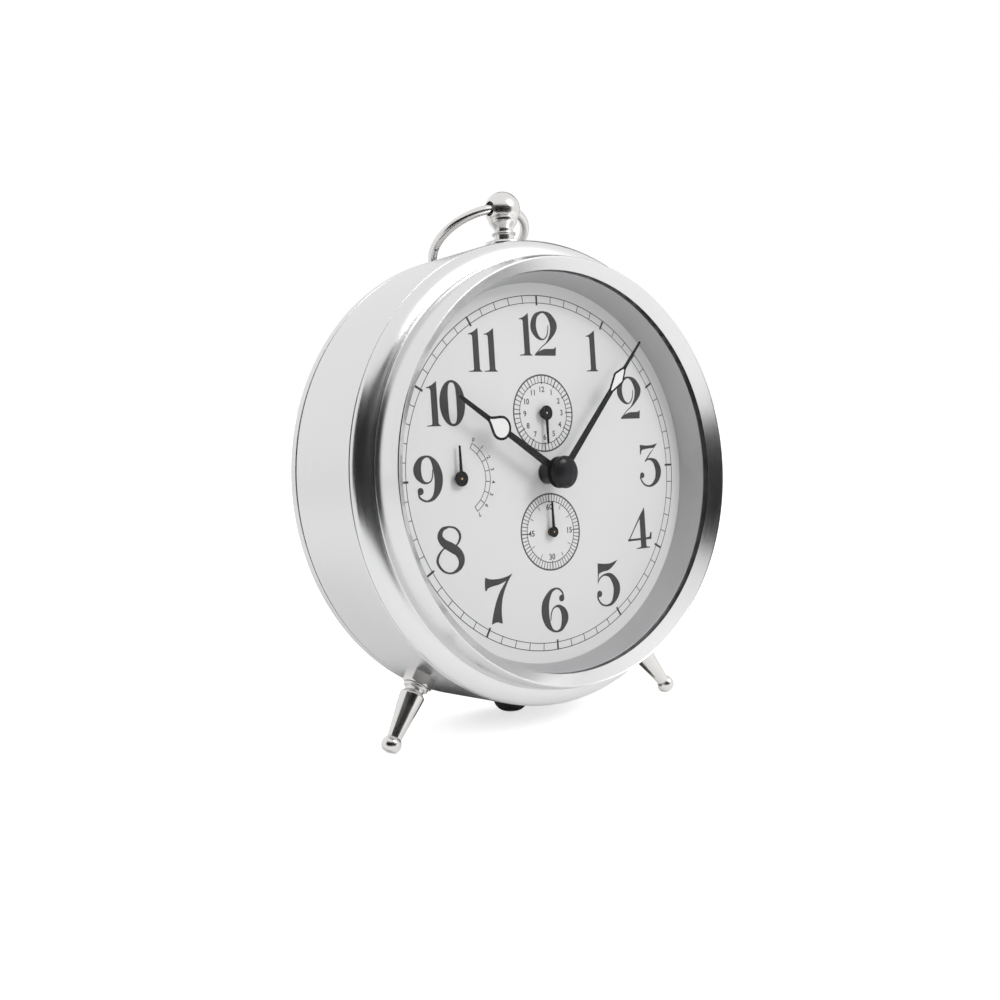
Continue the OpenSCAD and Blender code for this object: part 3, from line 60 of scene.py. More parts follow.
# %% From the dial to the world
MM = 0.001
joint = {j["name"]: j for j in frame["joints"]}
RIGHT = np.array([1.0, 0.0, 0.0])
BACK = np.array(joint["minute_turn"]["axis"], float)
BACK = BACK / np.linalg.norm(BACK)
UP = np.cross(RIGHT, BACK)
JOINT_DEPTH = 10
CENTRE = np.array(joint["minute_turn"]["pos_m"], float) - JOINT_DEPTH * MM * BACK
AXES = np.array([RIGHT, BACK, UP])
COS_LEAN = BACK[1]
SIN_LEAN = -BACK[2]


def in_world(points):
    """Millimetres in the dial's frame to metres: centre + x right + y back + z up."""
    return CENTRE + np.asarray(points, float) @ AXES * MM


def on_dial(name):
    """A joint's place on the dial as (x, z): its arm from the centre, measured along two axes."""
    arm = (np.array(joint[name]["pos_m"], float) - CENTRE) / MM
    return np.array([arm @ RIGHT, arm @ UP])


ALARM = on_dial("alarm_setting_turn")
SECONDS = on_dial("seconds_turn")
RESERVE = on_dial("reserve_turn")
print("small dials at", ALARM.round(2), SECONDS.round(2), RESERVE.round(2))

# %% [markdown]
# ## Camera
# The photograph is taken from the left, a little above the clock. The camera comes first, because
# every later picture is judged through it. Its place and its three axes were fitted in the dial's
# frame, so they go through the same step as the pieces do.

# %% Camera
def placed(name, data):
    """A new object in the scene."""
    made = bpy.data.objects.new(name, data)
    scene.collection.objects.link(made)
    return made


lens_at = np.array([-208.3, -245.3, 1.82])
lens_axes = np.array([[0.7843, -0.6171, -0.06364],
                      [0.06543, -0.01973, 0.99767],
                      [-0.6169, -0.7867, 0.0249]])
camera = placed("camera", bpy.data.cameras.new("camera"))
pose = np.eye(4)
pose[:3, :3] = (lens_axes @ AXES).T
pose[:3, 3] = in_world(lens_at)
camera.matrix_world = Matrix(pose.tolist())
camera.data.sensor_width = 36
camera.data.lens = 44.96
camera.data.clip_start = 0.01
scene.camera = camera
print("camera at", pose[:3, 3].round(3))

# %% [markdown]
# ## Surfaces from formulas
# A lathe, a press and a printer make most of a clock, and each has its formula. A turned piece is
# a profile carried round an axis, and a hand is a pair of edges given a thickness. Both are grids
# of points, so the mesh comes from whole arrays. With Blender's own primitives and its Screw
# modifier, a piece's sizes would hide in object settings.

# %% Grids and shells
def around(steps):
    """Angles of one turn, without the last, which is the first."""
    return np.linspace(0, 2 * np.pi, steps, endpoint=False)


def grid(points, wrap_rows, wrap_columns):
    """A shell from a grid of points: cell (i, j) is the four points around it."""
    rows, columns = points.shape[:2]
    i = np.arange(rows if wrap_rows else rows - 1)[:, None]
    j = np.arange(columns if wrap_columns else columns - 1)[None, :]
    i2 = (i + 1) % rows
    j2 = (j + 1) % columns
    cells = np.stack([i * columns + j, i2 * columns + j, i2 * columns + j2, i * columns + j2], -1)
    return points.reshape(-1, 3), cells.reshape(-1, 4).tolist()


def unit_rows(vectors):
    """Each row scaled to length 1."""
    return vectors / np.linalg.norm(vectors, axis=1, keepdims=True)


def rounded(corners, steps=5, guard=0.12):
    """Corners (radius, height, rounding) to a profile: each becomes (1-t)^2 a + 2 t (1-t) c + t^2 b,
    where a and b lie one rounding away along its two sides. A guard point on each side keeps the
    flat next to it shading flat."""
    corners = np.array(corners, float)
    c, r = corners[:, :2], corners[:, 2:]
    before = unit_rows(np.roll(c, 1, 0) - c)
    after = unit_rows(np.roll(c, -1, 0) - c)
    t = np.linspace(0, 1, steps + 1)[None, :, None]
    a = (c + r * before)[:, None]
    b = (c + r * after)[:, None]
    curve = (1 - t) ** 2 * a + 2 * t * (1 - t) * c[:, None] + t ** 2 * b
    reach = r + guard * (r > 0)
    first = (c + reach * before)[:, None]
    last = (c + reach * after)[:, None]
    return np.concatenate([first, curve, last], 1).reshape(-1, 2)


CORNER = 8  # points that a corner becomes with 5 steps


def arc(centre, a, b, start, end, steps=14):
    """Part of an ellipse: centre + (a cos t, b sin t), from start to end in degrees."""
    t = np.radians(np.linspace(start, end, steps))
    return np.stack([centre[0] + a * np.cos(t), centre[1] + b * np.sin(t)], 1)


def lathe(r, h, a, place, ring=False):
    """Rows of radius r and height h at the angles a: (r cos a, r sin a, h), put in their place."""
    points = np.stack([r * np.cos(a), r * np.sin(a), h + 0 * a], -1)
    return grid(place(points), ring, True)


def revolve(profile, place, steps=192, ring=False):
    """Profile (radius, height) carried round. A ring's profile is a closed loop; any other one
    starts and ends on the axis."""
    return lathe(profile[:, :1], profile[:, 1:], around(steps), place, ring)


def axis_along_depth(x=0, z=0, depth=0):
    """Place whose axis runs back through the dial's point (x, z), from that depth."""
    def place(points):
        return np.stack([x + points[..., 0], depth + points[..., 2], z + points[..., 1]], -1)
    return place


DIAL_AXIS = axis_along_depth()

# %% Edges and slabs
def smooth(points, steps=8):
    """Catmull-Rom curve through the points; it passes every one and turns evenly between them."""
    p = np.array(points, float)
    if len(p) < 3:
        return p
    q = np.vstack([2 * p[0] - p[1], p, 2 * p[-1] - p[-2]])
    a, b, c, d = q[:-3], q[1:-2], q[2:-1], q[3:]
    t = np.linspace(0, 1, steps, endpoint=False)[:, None, None]
    curve = 0.5 * (2 * b + (c - a) * t + (2 * a - 5 * b + 4 * c - d) * t ** 2
                   + (3 * b - a - 3 * c + d) * t ** 3)
    return np.vstack([curve.transpose(1, 0, 2).reshape(-1, p.shape[1]), p[-1:]])


def edges(path, half, closed=False):
    """Left and right edge of a path: point + and - half width along the mitre of its two
    segments' normals, (n1 + n2) / (1 + n1 . n2)."""
    step = np.roll(path, -1, 0) - path
    if not closed:
        step[-1] = step[-2]
    n = unit_rows(np.stack([-step[:, 1], step[:, 0]], 1))
    m = np.roll(n, 1, 0)
    if not closed:
        m[0] = n[0]
    mitre = (n + m) / (1 + (n * m).sum(1, keepdims=True))
    half = np.broadcast_to(np.asarray(half, float).reshape(-1, 1), (len(path), 1))
    return path + mitre * half, path - mitre * half


def band(left, right, front, back, closed=False, ease=0):
    """Flat strip between two edges, from depth front to depth back. With ease, its corners are cut
    off by that much, as a stamped hand's are."""
    inset = ease * unit_rows(right - left)
    rows = [(left + inset, front), (right - inset, front)]
    if ease:
        rows += [(right, front + ease), (right, back - ease)]
    rows += [(right - inset, back), (left + inset, back)]
    if ease:
        rows += [(left, back - ease), (left, front + ease)]
    points = np.stack([np.insert(p, 1, depth, axis=1) for p, depth in rows])
    points, cells = grid(points, True, closed)
    if not closed:
        n, k = len(left), len(rows)
        cells += [[i * n for i in range(k)], [i * n + n - 1 for i in range(k)]]
    return points, cells


def slab(outline, front, back):
    """Filled outline (x, z), from depth front to depth back: two faces and a wall."""
    points = np.stack([np.insert(outline, 1, depth, axis=1) for depth in (front, back)])
    points, cells = grid(points, False, True)
    n = len(outline)
    return points, cells + [list(range(n)), list(range(2 * n - 1, n - 1, -1))]


def circle(r, x=0, z=0, steps=96):
    """Points (x + r cos a, z + r sin a) of one turn."""
    a = around(steps)
    return np.stack([x + r * np.cos(a), z + r * np.sin(a)], 1)


def clockwise(points, degrees, centre=(0, 0)):
    """Flat points turned clockwise as a hand turns: (x cos a + z sin a, z cos a - x sin a)."""
    a = math.radians(degrees)
    turn = [[math.cos(a), -math.sin(a)], [math.sin(a), math.cos(a)]]
    return np.asarray(points, float) @ turn + centre

# %% [markdown]
# ## From shells to pieces
# A piece is one or more closed shells in a mesh. Its object stays at the origin and its place is
# in the mesh, as the frame's own nodes have it. Doubled points, at poles and sharp corners, are
# merged, and the faces are turned outwards.

# %% Making a piece
WELD = 2e-7


def mesh_object(name, shells, floor=False):
    """Shells in the dial's frame to one object in the world; floor flattens what lies below it."""
    whole = bmesh.new()
    for points, cells in shells:
        world = in_world(points)
        if floor:
            world[:, 2] = np.maximum(world[:, 2], 0)
        shell = bpy.data.meshes.new("shell")
        shell.from_pydata(world.tolist(), [], cells)
        first = len(whole.verts)
        whole.from_mesh(shell)
        bpy.data.meshes.remove(shell)
        whole.verts.ensure_lookup_table()
        bmesh.ops.remove_doubles(whole, verts=whole.verts[first:], dist=WELD)
    bmesh.ops.recalc_face_normals(whole, faces=whole.faces[:])
    mesh = bpy.data.meshes.new(name)
    whole.to_mesh(mesh)
    whole.free()
    return placed(name, mesh)


def bored(thing, cutters):
    """Takes closed shells out of a piece, as a drill or a mill would, by an exact Boolean."""
    for number, shell in enumerate(cutters):
        cutter = mesh_object(f"cutter_{number}", [shell])
        cut = thing.modifiers.new("bore", "BOOLEAN")
        cut.operation = "DIFFERENCE"
        cut.solver = "EXACT"
        cut.object = cutter
        made = bpy.data.meshes.new_from_object(
            thing.evaluated_get(bpy.context.evaluated_depsgraph_get()))
        thing.modifiers.clear()
        thing.data = made
        bpy.data.objects.remove(cutter)


def dress(thing, body, look, slot, stands_for=(), sharp=35):
    """Gives a piece its look, its body and the nodes that it stands for; the slot is not used. Edges
    sharper than that many degrees stay sharp."""
    thing.data.materials.clear()
    thing.data.materials.append(look)
    thing.data.shade_smooth()
    thing.data.set_sharp_from_angle(angle=math.radians(sharp))
    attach(thing, body)
    if stands_for:
        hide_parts(*stands_for)
    print(thing.name, len(thing.data.polygons), "faces on", body)


def piece(name, shells, *how, floor=False):
    """Makes a piece from its shells and dresses it: body, look and so on."""
    dress(mesh_object(name, shells, floor), *how)

# %% [markdown]
# ## Finishes
# Metal shows what is around it, so its finish is mostly roughness: how far a reflection spreads.
# Spun sheet has fine rings left by the tool, so its roughness and its bump follow the distance
# from the dial's axis. The turnings are plated and nearly smooth.

# %% Node helpers
def node(tree, kind, inputs=None, **settings):
    """One shader node: settings are its own fields, and inputs are values or other sockets."""
    made = tree.nodes.new("ShaderNode" + kind)
    for name, value in settings.items():
        setattr(made, name, value)
    for key, value in (inputs or {}).items():
        if isinstance(value, bpy.types.NodeSocket):
            tree.links.new(value, made.inputs[key])
        else:
            made.inputs[key].default_value = value
    return made


def finish(name, colour, roughness, metallic=0, **more):
    """A new material: its tree and its Principled shader, with flat values on the sockets."""
    made = bpy.data.materials.new(name)
    made.use_nodes = True
    shader = made.node_tree.nodes["Principled BSDF"]
    shader.inputs["Base Color"].default_value = (*colour, 1)
    shader.inputs["Roughness"].default_value = roughness
    shader.inputs["Metallic"].default_value = metallic
    for key, value in more.items():
        shader.inputs[key.replace("_", " ")].default_value = value
    return made, made.node_tree, shader


def object_place(tree):
    """Coordinates in metres that stay on the object."""
    return node(tree, "TexCoord").outputs["Object"]


def maths(tree, operation, *values):
    """One step of arithmetic in a shader."""
    return node(tree, "Math", dict(enumerate(values)), operation=operation).outputs[0]


def vector(tree, operation, *values, **more):
    """One step of vector arithmetic in a shader."""
    return node(tree, "VectorMath", dict(enumerate(values)) | more, operation=operation).outputs


def spun_rings(tree, stretch):
    """Coordinates of a spun surface: distance from the dial's axis, depth along it, and a little
    of the direction, so that a ring's grain changes slowly on its way round."""
    back = tuple(BACK)
    centred = vector(tree, "SUBTRACT", object_place(tree), tuple(CENTRE))[0]
    depth = vector(tree, "DOT_PRODUCT", centred, back)["Value"]
    along = vector(tree, "SCALE", back, Scale=depth)[0]
    outwards = vector(tree, "SUBTRACT", centred, along)[0]
    radius = vector(tree, "LENGTH", outwards)["Value"]
    towards = vector(tree, "NORMALIZE", outwards)[0]
    slow = vector(tree, "SCALE", towards, Scale=stretch)[0]
    ring = node(tree, "CombineXYZ", {"X": radius, "Y": depth}).outputs[0]
    return vector(tree, "ADD", ring, slow)[0]


def grain(tree, where, scale, detail=3):
    """Noise at a scale in waves to the metre."""
    return node(tree, "TexNoise", {"Vector": where, "Scale": scale, "Detail": detail}).outputs["Fac"]


def roughened(tree, shader, mask, low, high):
    """Roughness from low to high as the mask goes from 0 to 1."""
    wide = node(tree, "MapRange", {"Value": mask, "To Min": low, "To Max": high})
    tree.links.new(wide.outputs[0], shader.inputs["Roughness"])


def clouded(tree, shader, colour, mask, cloud):
    """The colour, darker by cloud where the mask is 0 and lighter where it is 1."""
    low, high = [(*(min(max(c + step, 0), 1) for c in colour), 1) for step in (-cloud, cloud)]
    tint = node(tree, "MixRGB", {"Fac": mask, "Color1": low, "Color2": high})
    tree.links.new(tint.outputs[0], shader.inputs["Base Color"])


def bump(tree, shader, height, distance, strength=0.5):
    """Turns a height pattern into small slopes on the surface."""
    made = node(tree, "Bump", {"Height": height, "Distance": distance, "Strength": strength})
    tree.links.new(made.outputs[0], shader.inputs["Normal"])

# %% Metals
def satin_metal(name, colour, rough, ring_depth=0.00001):
    """Spun and lacquered sheet: rings in roughness and bump, and a faint cloudiness."""
    made, tree, shader = finish(name, colour, rough, 1)
    rings = grain(tree, spun_rings(tree, 0.0009), 2600, 2)
    clouds = grain(tree, object_place(tree), 45)
    roughened(tree, shader, maths(tree, "ADD", rings, clouds), rough - 0.1, rough + 0.1)
    clouded(tree, shader, colour, clouds, 0.02)
    bump(tree, shader, rings, ring_depth, 0.35)
    return made


def polished_metal(name, colour, rough):
    """Buffed and plated metal: almost a mirror, with a soft unevenness and a few rubbed places."""
    made, tree, shader = finish(name, colour, rough, 1)
    where = object_place(tree)
    roughened(tree, shader, grain(tree, where, 160, 4), rough * 0.5, rough * 1.8)
    bump(tree, shader, grain(tree, where, 420, 1), 0.000012, 0.4)
    return made


def cut_metal(name, colour, rough):
    """Machined and lacquered movement metal: fine directional marks and a slight stain."""
    made, tree, shader = finish(name, colour, rough, 1)
    where = object_place(tree)
    marks = node(tree, "Mapping", {"Vector": where, "Scale": (9, 1, 1)}).outputs[0]
    lines = grain(tree, marks, 900, 2)
    stain = grain(tree, where, 120)
    roughened(tree, shader, lines, rough - 0.08, rough + 0.1)
    clouded(tree, shader, colour, stain, 0.04)
    bump(tree, shader, lines, 0.000006)
    return made


SATIN = satin_metal("satin case", (0.74, 0.74, 0.745), 0.27)
SATIN_BEZEL = satin_metal("bright satin bezel", (0.74, 0.74, 0.745), 0.15, 0.0000008)
SATIN_RING = satin_metal("satin grey ring", (0.62, 0.62, 0.63), 0.46)
CHROME = polished_metal("soft nickel", (0.74, 0.725, 0.71), 0.19)
BRASS = cut_metal("lacquered brass", (0.76, 0.56, 0.26), 0.28)
STEEL = cut_metal("bright steel", (0.62, 0.63, 0.65), 0.26)
BLUED = cut_metal("blued spring steel", (0.09, 0.12, 0.22), 0.25)
print("metals ready:", len(bpy.data.materials), "materials so far")

# %% [markdown]
# Paint and ink have their own colour, and only a thin gloss lies on it: little on the matt dial
# and much on the hands. The glass could be a refracting solid, but a lamp's light can't pass
# through one in this renderer, so it is made almost transparent and keeps only its gloss.

# %% Paint, ink and glass
def painted(name, colour, rough, scale, height, cloud=0.01, **more):
    """Paint or ink: a colour with slight clouds, and a fine skin in the gloss and the bump."""
    made, tree, shader = finish(name, colour, rough, 0, **more)
    where = object_place(tree)
    skin = grain(tree, where, scale)
    roughened(tree, shader, skin, rough * 0.8, rough * 1.2)
    clouded(tree, shader, colour, grain(tree, where, scale / 20), cloud)
    bump(tree, shader, skin, height)
    return made


DIAL_WHITE = painted("dial white", (0.80, 0.80, 0.80), 0.55, 2500, 0.000004)
INK = painted("dial ink", (0.044, 0.042, 0.044), 0.5, 4000, 0.000003, 0.006)
FINE_INK = painted("fine dial ink", (0.08, 0.08, 0.08), 0.5, 4000, 0.000003)
LACQUER = painted("black lacquer", (0.011, 0.010, 0.012), 0.16, 900, 0.000004, 0.003,
                  Specular_IOR_Level=0.25)
ENAMEL = painted("white hand enamel", (0.90, 0.90, 0.89), 0.4, 2000, 0.000004)
GLASS, glass_tree, glass_shader = finish("clear glass", (0.06, 0.06, 0.06), 0.02, 0,
                                         Alpha=0.05, IOR=1.5, Specular_IOR_Level=0.2)
roughened(glass_tree, glass_shader, grain(glass_tree, object_place(glass_tree), 60), 0.01, 0.05)
print("paints ready:", len(bpy.data.materials), "materials so far")

# %% [markdown]
# ## Finishing the nodes that stay
# Plates, wheels, springs, screws and the dial's disc keep their CAD meshes. Each gets the finish
# that its material slot in the record names.

# %% Dress the CAD nodes
BY_SLOT = {"satin_case": SATIN, "glass": GLASS, "satin_ring": SATIN_RING, "dial": DIAL_WHITE,
           "chrome": CHROME, "brass": BRASS, "steel": STEEL, "spring_steel": BLUED, "black": LACQUER}
for part in frame["record"]["subparts"]:
    kept = frame["nodes"][part["node"]]
    kept.data.materials.clear()
    kept.data.materials.append(BY_SLOT[part["material_slot"]])

# %% [markdown]
# ## The case
# The drum is a rolled sheet, and the bezel in front is spun over a former: a shoulder that rolls
# into a groove, a straight bead, a narrow crown and a face that slopes in to the glass. The face and
# the shoulder mirror what stands in front, so their slopes matter more than their sizes. A black
# ring in the seam between the drum and the back cover is painted shadow for the gap there.

# %% Case sizes
DRUM_R = 59.5
DRUM_LEN = 24.3
WALL = 0.8
DRUM_IN = DRUM_R - WALL
COLLAR_R = DRUM_IN - 0.1
COLLAR_LEN = 3.5
FLANGE_EDGE = 0.2
BEAD_R = 54.9
BEAD_IN = BEAD_R - WALL
CROWN_R = 53.6
CROWN_FRONT = 12.2
SIDE_LEN = 3.5
GROOVE = 4
LIP_R = 50.6
LIP_FRONT = 9.1
REAR = DRUM_LEN + 3
SEAM = 0.25
ROUND = 256


def turned(corners, place=DIAL_AXIS, steps=ROUND, ring=False, fine=5):
    """A turning from its corners (radius, height, rounding)."""
    return revolve(rounded(corners, fine), place, steps, ring)


def rod(r, start, end, place, eases=(0, 0), steps=48):
    """A round bar between two heights, each of its ends eased by that much."""
    return turned([(0, start, 0), (r, start, eases[0]), (r, end, eases[1]), (0, end, 0)],
                  place, steps)

# %% Drum
seam_from, seam_to = DRUM_LEN - SEAM, DRUM_LEN + SEAM
piece("drum_shell", [turned([
    (DRUM_IN, 0, 0.05), (DRUM_R, 0, 0), (DRUM_R, seam_from, 0.2), (DRUM_IN, seam_from, 0.1)],
    ring=True)], "case", SATIN, "satin_case", ["case_drum"])
# Painted shadow: this black ring fills the seam between drum and cover and stands for the shade in that gap.
piece("painted_seam_shadow", [turned([
    (COLLAR_R, seam_from, 0), (DRUM_IN + 0.3, seam_from, 0.08),
    (DRUM_IN + 0.3, seam_to, 0.08), (COLLAR_R, seam_to, 0)], ring=True, fine=3)],
    "case", LACQUER, "black")

# %% Bezel
flange = rounded([(COLLAR_R, 0, 0), (DRUM_R, 0, 0), (DRUM_R - 0.02, -FLANGE_EDGE - 0.2, 0.25)])
shoulder = arc((BEAD_R, -FLANGE_EDGE), DRUM_R - BEAD_R, FLANGE_EDGE - GROOVE, 8, 84, 20)
root = smooth([(BEAD_R + 0.5, -GROOVE), (BEAD_R + 0.12, -GROOVE - 0.12), (BEAD_R, -GROOVE - 0.5)], 4)
bead = rounded([(BEAD_R, -GROOVE - 0.6, 0), (BEAD_R, -GROOVE - SIDE_LEN, 2.4),
                (CROWN_R, -CROWN_FRONT, 0.5), (LIP_R, -LIP_FRONT, 0.1),
                (LIP_R + 1.1, -LIP_FRONT, 0)])[CORNER - 1:]
inner = rounded([(CROWN_R - 0.35, -CROWN_FRONT + 1.3, 0.3), (BEAD_IN, -GROOVE - SIDE_LEN + 0.1, 1.5),
                 (BEAD_IN, WALL - GROOVE, 0)])
inner_shoulder = arc((BEAD_IN, WALL - FLANGE_EDGE), COLLAR_R - BEAD_R, FLANGE_EDGE - GROOVE, 90, 0)
bezel_profile = np.vstack([[(COLLAR_R, COLLAR_LEN)], flange, shoulder, root, bead, inner,
                           inner_shoulder, [(COLLAR_R - WALL, COLLAR_LEN)]])
piece("spun_bezel", [revolve(bezel_profile, DIAL_AXIS, 288, True)],
      "case", SATIN_BEZEL, "satin_case", ["front_bezel"])

# %% [markdown]
# Behind the glass a spun cone leads the eye from the bezel down to the dial. It is satin too, but
# darker. The glass is a shallow dome: its height falls with the square of the distance.

# %% Inner ring and glass
DIAL_VIEW_R = 48.8
CONE_FRONT_R = LIP_R - 0.2
CONE_FOOT = 3.2
GLASS_R = BEAD_IN - 0.3
SHEET = 0.6
GLASS_BACK = 7.5
GLASS_FRONT = 9
GLASS_RISE = 2.2
piece("inner_cone", [turned([
    (DIAL_VIEW_R, 0, 0.12), (CONE_FRONT_R, -GLASS_BACK, 0.1), (GLASS_R, -GLASS_BACK, 0),
    (GLASS_R, SHEET - GLASS_BACK, 0), (CONE_FRONT_R + SHEET, SHEET - GLASS_BACK, 0.1),
    (DIAL_VIEW_R + SHEET, -SHEET, 0.1), (DIAL_VIEW_R + CONE_FOOT, -SHEET, 0),
    (DIAL_VIEW_R + CONE_FOOT, 0, 0)], ring=True)], "case", SATIN_RING, "satin_ring", ["inner_ring"])

t = np.linspace(0, 1, 24)
dome = np.stack([LIP_R * t, -GLASS_RISE * (1 - t ** 2)], 1)
rim = [(GLASS_R, -GLASS_FRONT), (GLASS_R, -GLASS_BACK)]
glass_profile = np.vstack([dome - [0, GLASS_FRONT], rim, (dome - [0, GLASS_BACK])[::-1]])
piece("domed_glass", [revolve(glass_profile, DIAL_AXIS)], "case", GLASS, "glass", ["glass"], 50)

# %% [markdown]
# The back cover is a shallow pan. Holes let the arbors, keys and screws through, and a slot shows
# the regulator. They are cut with a Boolean, because a hole that lies anywhere on a turned face
# doesn't follow its grid.

# %% Back cover
COVER = REAR - 0.7
COVER_IN = COVER - WALL
RIM_W = 2.4
PLATE_R = 46
SCREWS = PLATE_R * np.array([(-0.87, 0.304), (-0.304, -0.87), (0.826, -0.348), (0.044, 0.913)])
STOP = PLATE_R * np.array([0.196, 0.848])
TIME_KEY = on_dial("winding_turn")
ALARM_KEY = on_dial("alarm_winding_turn")
INDEX = on_dial("index_turn")
INDEX_R, INDEX_AIM, INDEX_SWING = 7, -5, 28
SET_HOLE, ALARM_HOLE, KEY_HOLE, STOP_HOLE, SCREW_HOLE, INDEX_SLOT = 2, 1.5, 2.3, 1.7, 1.5, 0.9
cover = mesh_object("rear_cover", [turned([
    (0, COVER, 0), (DRUM_R - RIM_W - 0.7, COVER, 0.3), (DRUM_R - RIM_W, REAR, 0.3),
    (DRUM_R, REAR, 1), (DRUM_R, seam_to, 0.2), (COLLAR_R, seam_to, 0),
    (COLLAR_R, DRUM_LEN - COLLAR_LEN, 0.1), (COLLAR_R - WALL, DRUM_LEN - COLLAR_LEN, 0.1),
    (COLLAR_R - WALL, COVER_IN, 0.3), (0, COVER_IN, 0)])])
cut_from, cut_to = COVER_IN - 1, COVER + 1
holes = [((0, 0), SET_HOLE), (ALARM, ALARM_HOLE), (TIME_KEY, KEY_HOLE), (ALARM_KEY, KEY_HOLE),
         (STOP, STOP_HOLE), *((place, SCREW_HOLE) for place in SCREWS)]
cutters = [rod(r, cut_from, cut_to, axis_along_depth(*place)) for place, r in holes]
slot_path = arc(INDEX, INDEX_R, INDEX_R, INDEX_AIM - INDEX_SWING, INDEX_AIM + INDEX_SWING, 30)
cutters.append(band(*edges(slot_path, INDEX_SLOT), cut_from, cut_to))
bored(cover, cutters)
dress(cover, "case", SATIN, "satin_case", ["back_cover"], 30)

# %% [markdown]
# ## Legs, foot and finial
# These are plated turnings from bar stock. Each leg starts as a hexagon for a spanner and ends in
# a knob. A cone limits the hexagon at the top, which gives the curved chamfer of a machined nut.

# %% Leg place
LEG_SPREAD = 36.8
LEG_SPLAY = 6.2
LEG_DEPTH = 10.9


def leg_place(side):
    """Leg's own frame, z out along the leg from the drum: splay about x, spread about the depth
    axis, then out to the drum."""
    spread = Matrix.Rotation(math.radians(side * (180 - LEG_SPREAD)), 3, "Y")
    turn = np.array(spread @ Matrix.Rotation(math.radians(LEG_SPLAY), 3, "X"))
    out = np.array(spread @ Vector((0, 0, DRUM_IN)))
    start = [0, LEG_DEPTH, 0] + out + turn @ [0, 0, WALL]

    def place(points):
        return points @ turn.T + start
    return place

# %% Hexagon and turned leg
KNOB_DOWN = 19.107
KNOB_R = 2.45
KNOB_END = 38
KNOB_NECK = 1.72
TIP_R = 1.75
HEX_FLAT = 3.3
HEX_H = 3.2


def hexagon(place, height=HEX_H, flat=HEX_FLAT, base=-0.5, chamfer=0.45):
    """A spanner's hexagon: radius flat / cos(angle from the nearest flat), cut by a cone. Its rows
    run from the base's middle to the end's middle."""
    a = around(144)
    across = flat / np.cos((a + np.pi / 6) % (np.pi / 3) - np.pi / 6)
    h = np.array([base, base, height - 2 * chamfer, *(height - chamfer * np.linspace(1, 0, 7)), height])
    cone = flat * 1.015 + (height - h) * 1.3
    r = np.minimum(across[None, :], cone[:, None])
    r[0] = r[-1] = 0
    return lathe(r, h[:, None], a, place)


knob_start = math.degrees(math.acos(TIP_R / KNOB_R))
collar = np.array([(0, -0.1, 0), (2.3, -0.1, 0), (2.3, 0, 0.05), (3.1, 0.02, 0.28),
                   (3.1, 0.9, 0.28), (2.3, 0.9, 0.12), (2.3, 1.8, 0.15), (3.15, 2.6, 0.35)])
leg_top = rounded([*(collar + [0, HEX_H, 0]), (TIP_R, KNOB_DOWN - KNOB_NECK, 0)])[:1 - CORNER]
knob = arc((0, KNOB_DOWN), KNOB_R, KNOB_R, -knob_start, KNOB_END, 16)
knob_end = knob[-1][1]
flat_end = smooth([knob[-1], (1.5, knob_end + 0.17), (0, knob_end + 0.2)], 4)
leg_profile = np.vstack([leg_top, knob[1:], flat_end])
for side, name in ((-1, "leg_left"), (1, "leg_right")):
    place = leg_place(side)
    piece("turned_" + name, [hexagon(place), revolve(leg_profile, place, 96)],
          "case", CHROME, "chrome", [name], floor=True)

# %% Rear foot and finial
FOOT_DEPTH = 21
FOOT_R = 4.8
FOOT_EDGE = 0.85
FINIAL_DEPTH = 11.5
BALL_R = 4.65
BALL_H = 10.3
BALL_FROM = -34
NECK_R, NECK_H = 2.45, 4.85


def radial_place(depth, sign):
    """Axis that leaves the drum straight up or down, at that depth behind the dial."""
    def place(points):
        return np.stack([points[..., 0], depth + points[..., 1], sign * (DRUM_R + points[..., 2])], -1)
    return place


foot_reach = (CENTRE[2] / MM - FOOT_DEPTH * SIN_LEAN) / COS_LEAN - DRUM_R
foot_profile = np.vstack([
    rounded([(0, -0.4, 0), (3.4, -0.4, 0), (3.4, 0.6, 0.2), (FOOT_R, 0.6, 0.2)])[:-1],
    arc((0, FOOT_EDGE), FOOT_R, foot_reach + 0.45 - FOOT_EDGE, 0, 90, 18)])
piece("rear_button", [revolve(foot_profile, radial_place(FOOT_DEPTH, -1), 96)],
      "case", CHROME, "chrome", ["rear_foot"], floor=True)

t = np.linspace(0, 1, 12)
ball_low = arc((0, BALL_H), BALL_R, BALL_R, BALL_FROM, BALL_FROM, 1)[0]
pear = np.stack([NECK_R + (ball_low[0] - NECK_R) * (0.5 - 0.5 * np.cos(np.pi * t ** 0.85)),
                 NECK_H + (ball_low[1] - NECK_H) * t], 1)
finial_profile = np.vstack([
    rounded([(0, -0.35, 0), (5.1, -0.35, 0), (5.1, 1.9, 0.7), (2.65, 1.9, 0.3), (2.65, 3.5, 0.1),
             (3.1, 3.5, 0.33), (3.1, 4.2, 0.33), (2.45, 4.2, 0.15), (2.45, 4.9, 0)])[:1 - CORNER],
    pear, arc((0, BALL_H), BALL_R, BALL_R, BALL_FROM + 3, 90, 30)])
finial = mesh_object("ball_finial", [revolve(finial_profile, radial_place(FINIAL_DEPTH, 1), 128)])

# %% [markdown]
# The carrying ring is one closed wire. It passes through a straight hole in the ball, and because
# the wire is curved the hole is wider than the wire. The ring hangs back until it lies on the case.

# %% Ring and its hole
RING_R = 13.4
WIRE_R = 1.18
RING_LOW = 32.5
HOLE_REACH = 8
sag = RING_R - math.sqrt(RING_R ** 2 - BALL_R ** 2)
hole_r = WIRE_R + sag / 2 + 0.3
points, cells = slab(circle(hole_r, FINIAL_DEPTH, DRUM_R + BALL_H, 48), -HOLE_REACH, HOLE_REACH)
bored(finial, [(points[:, [1, 0, 2]], cells)])
dress(finial, "case", CHROME, "chrome", ["finial"])

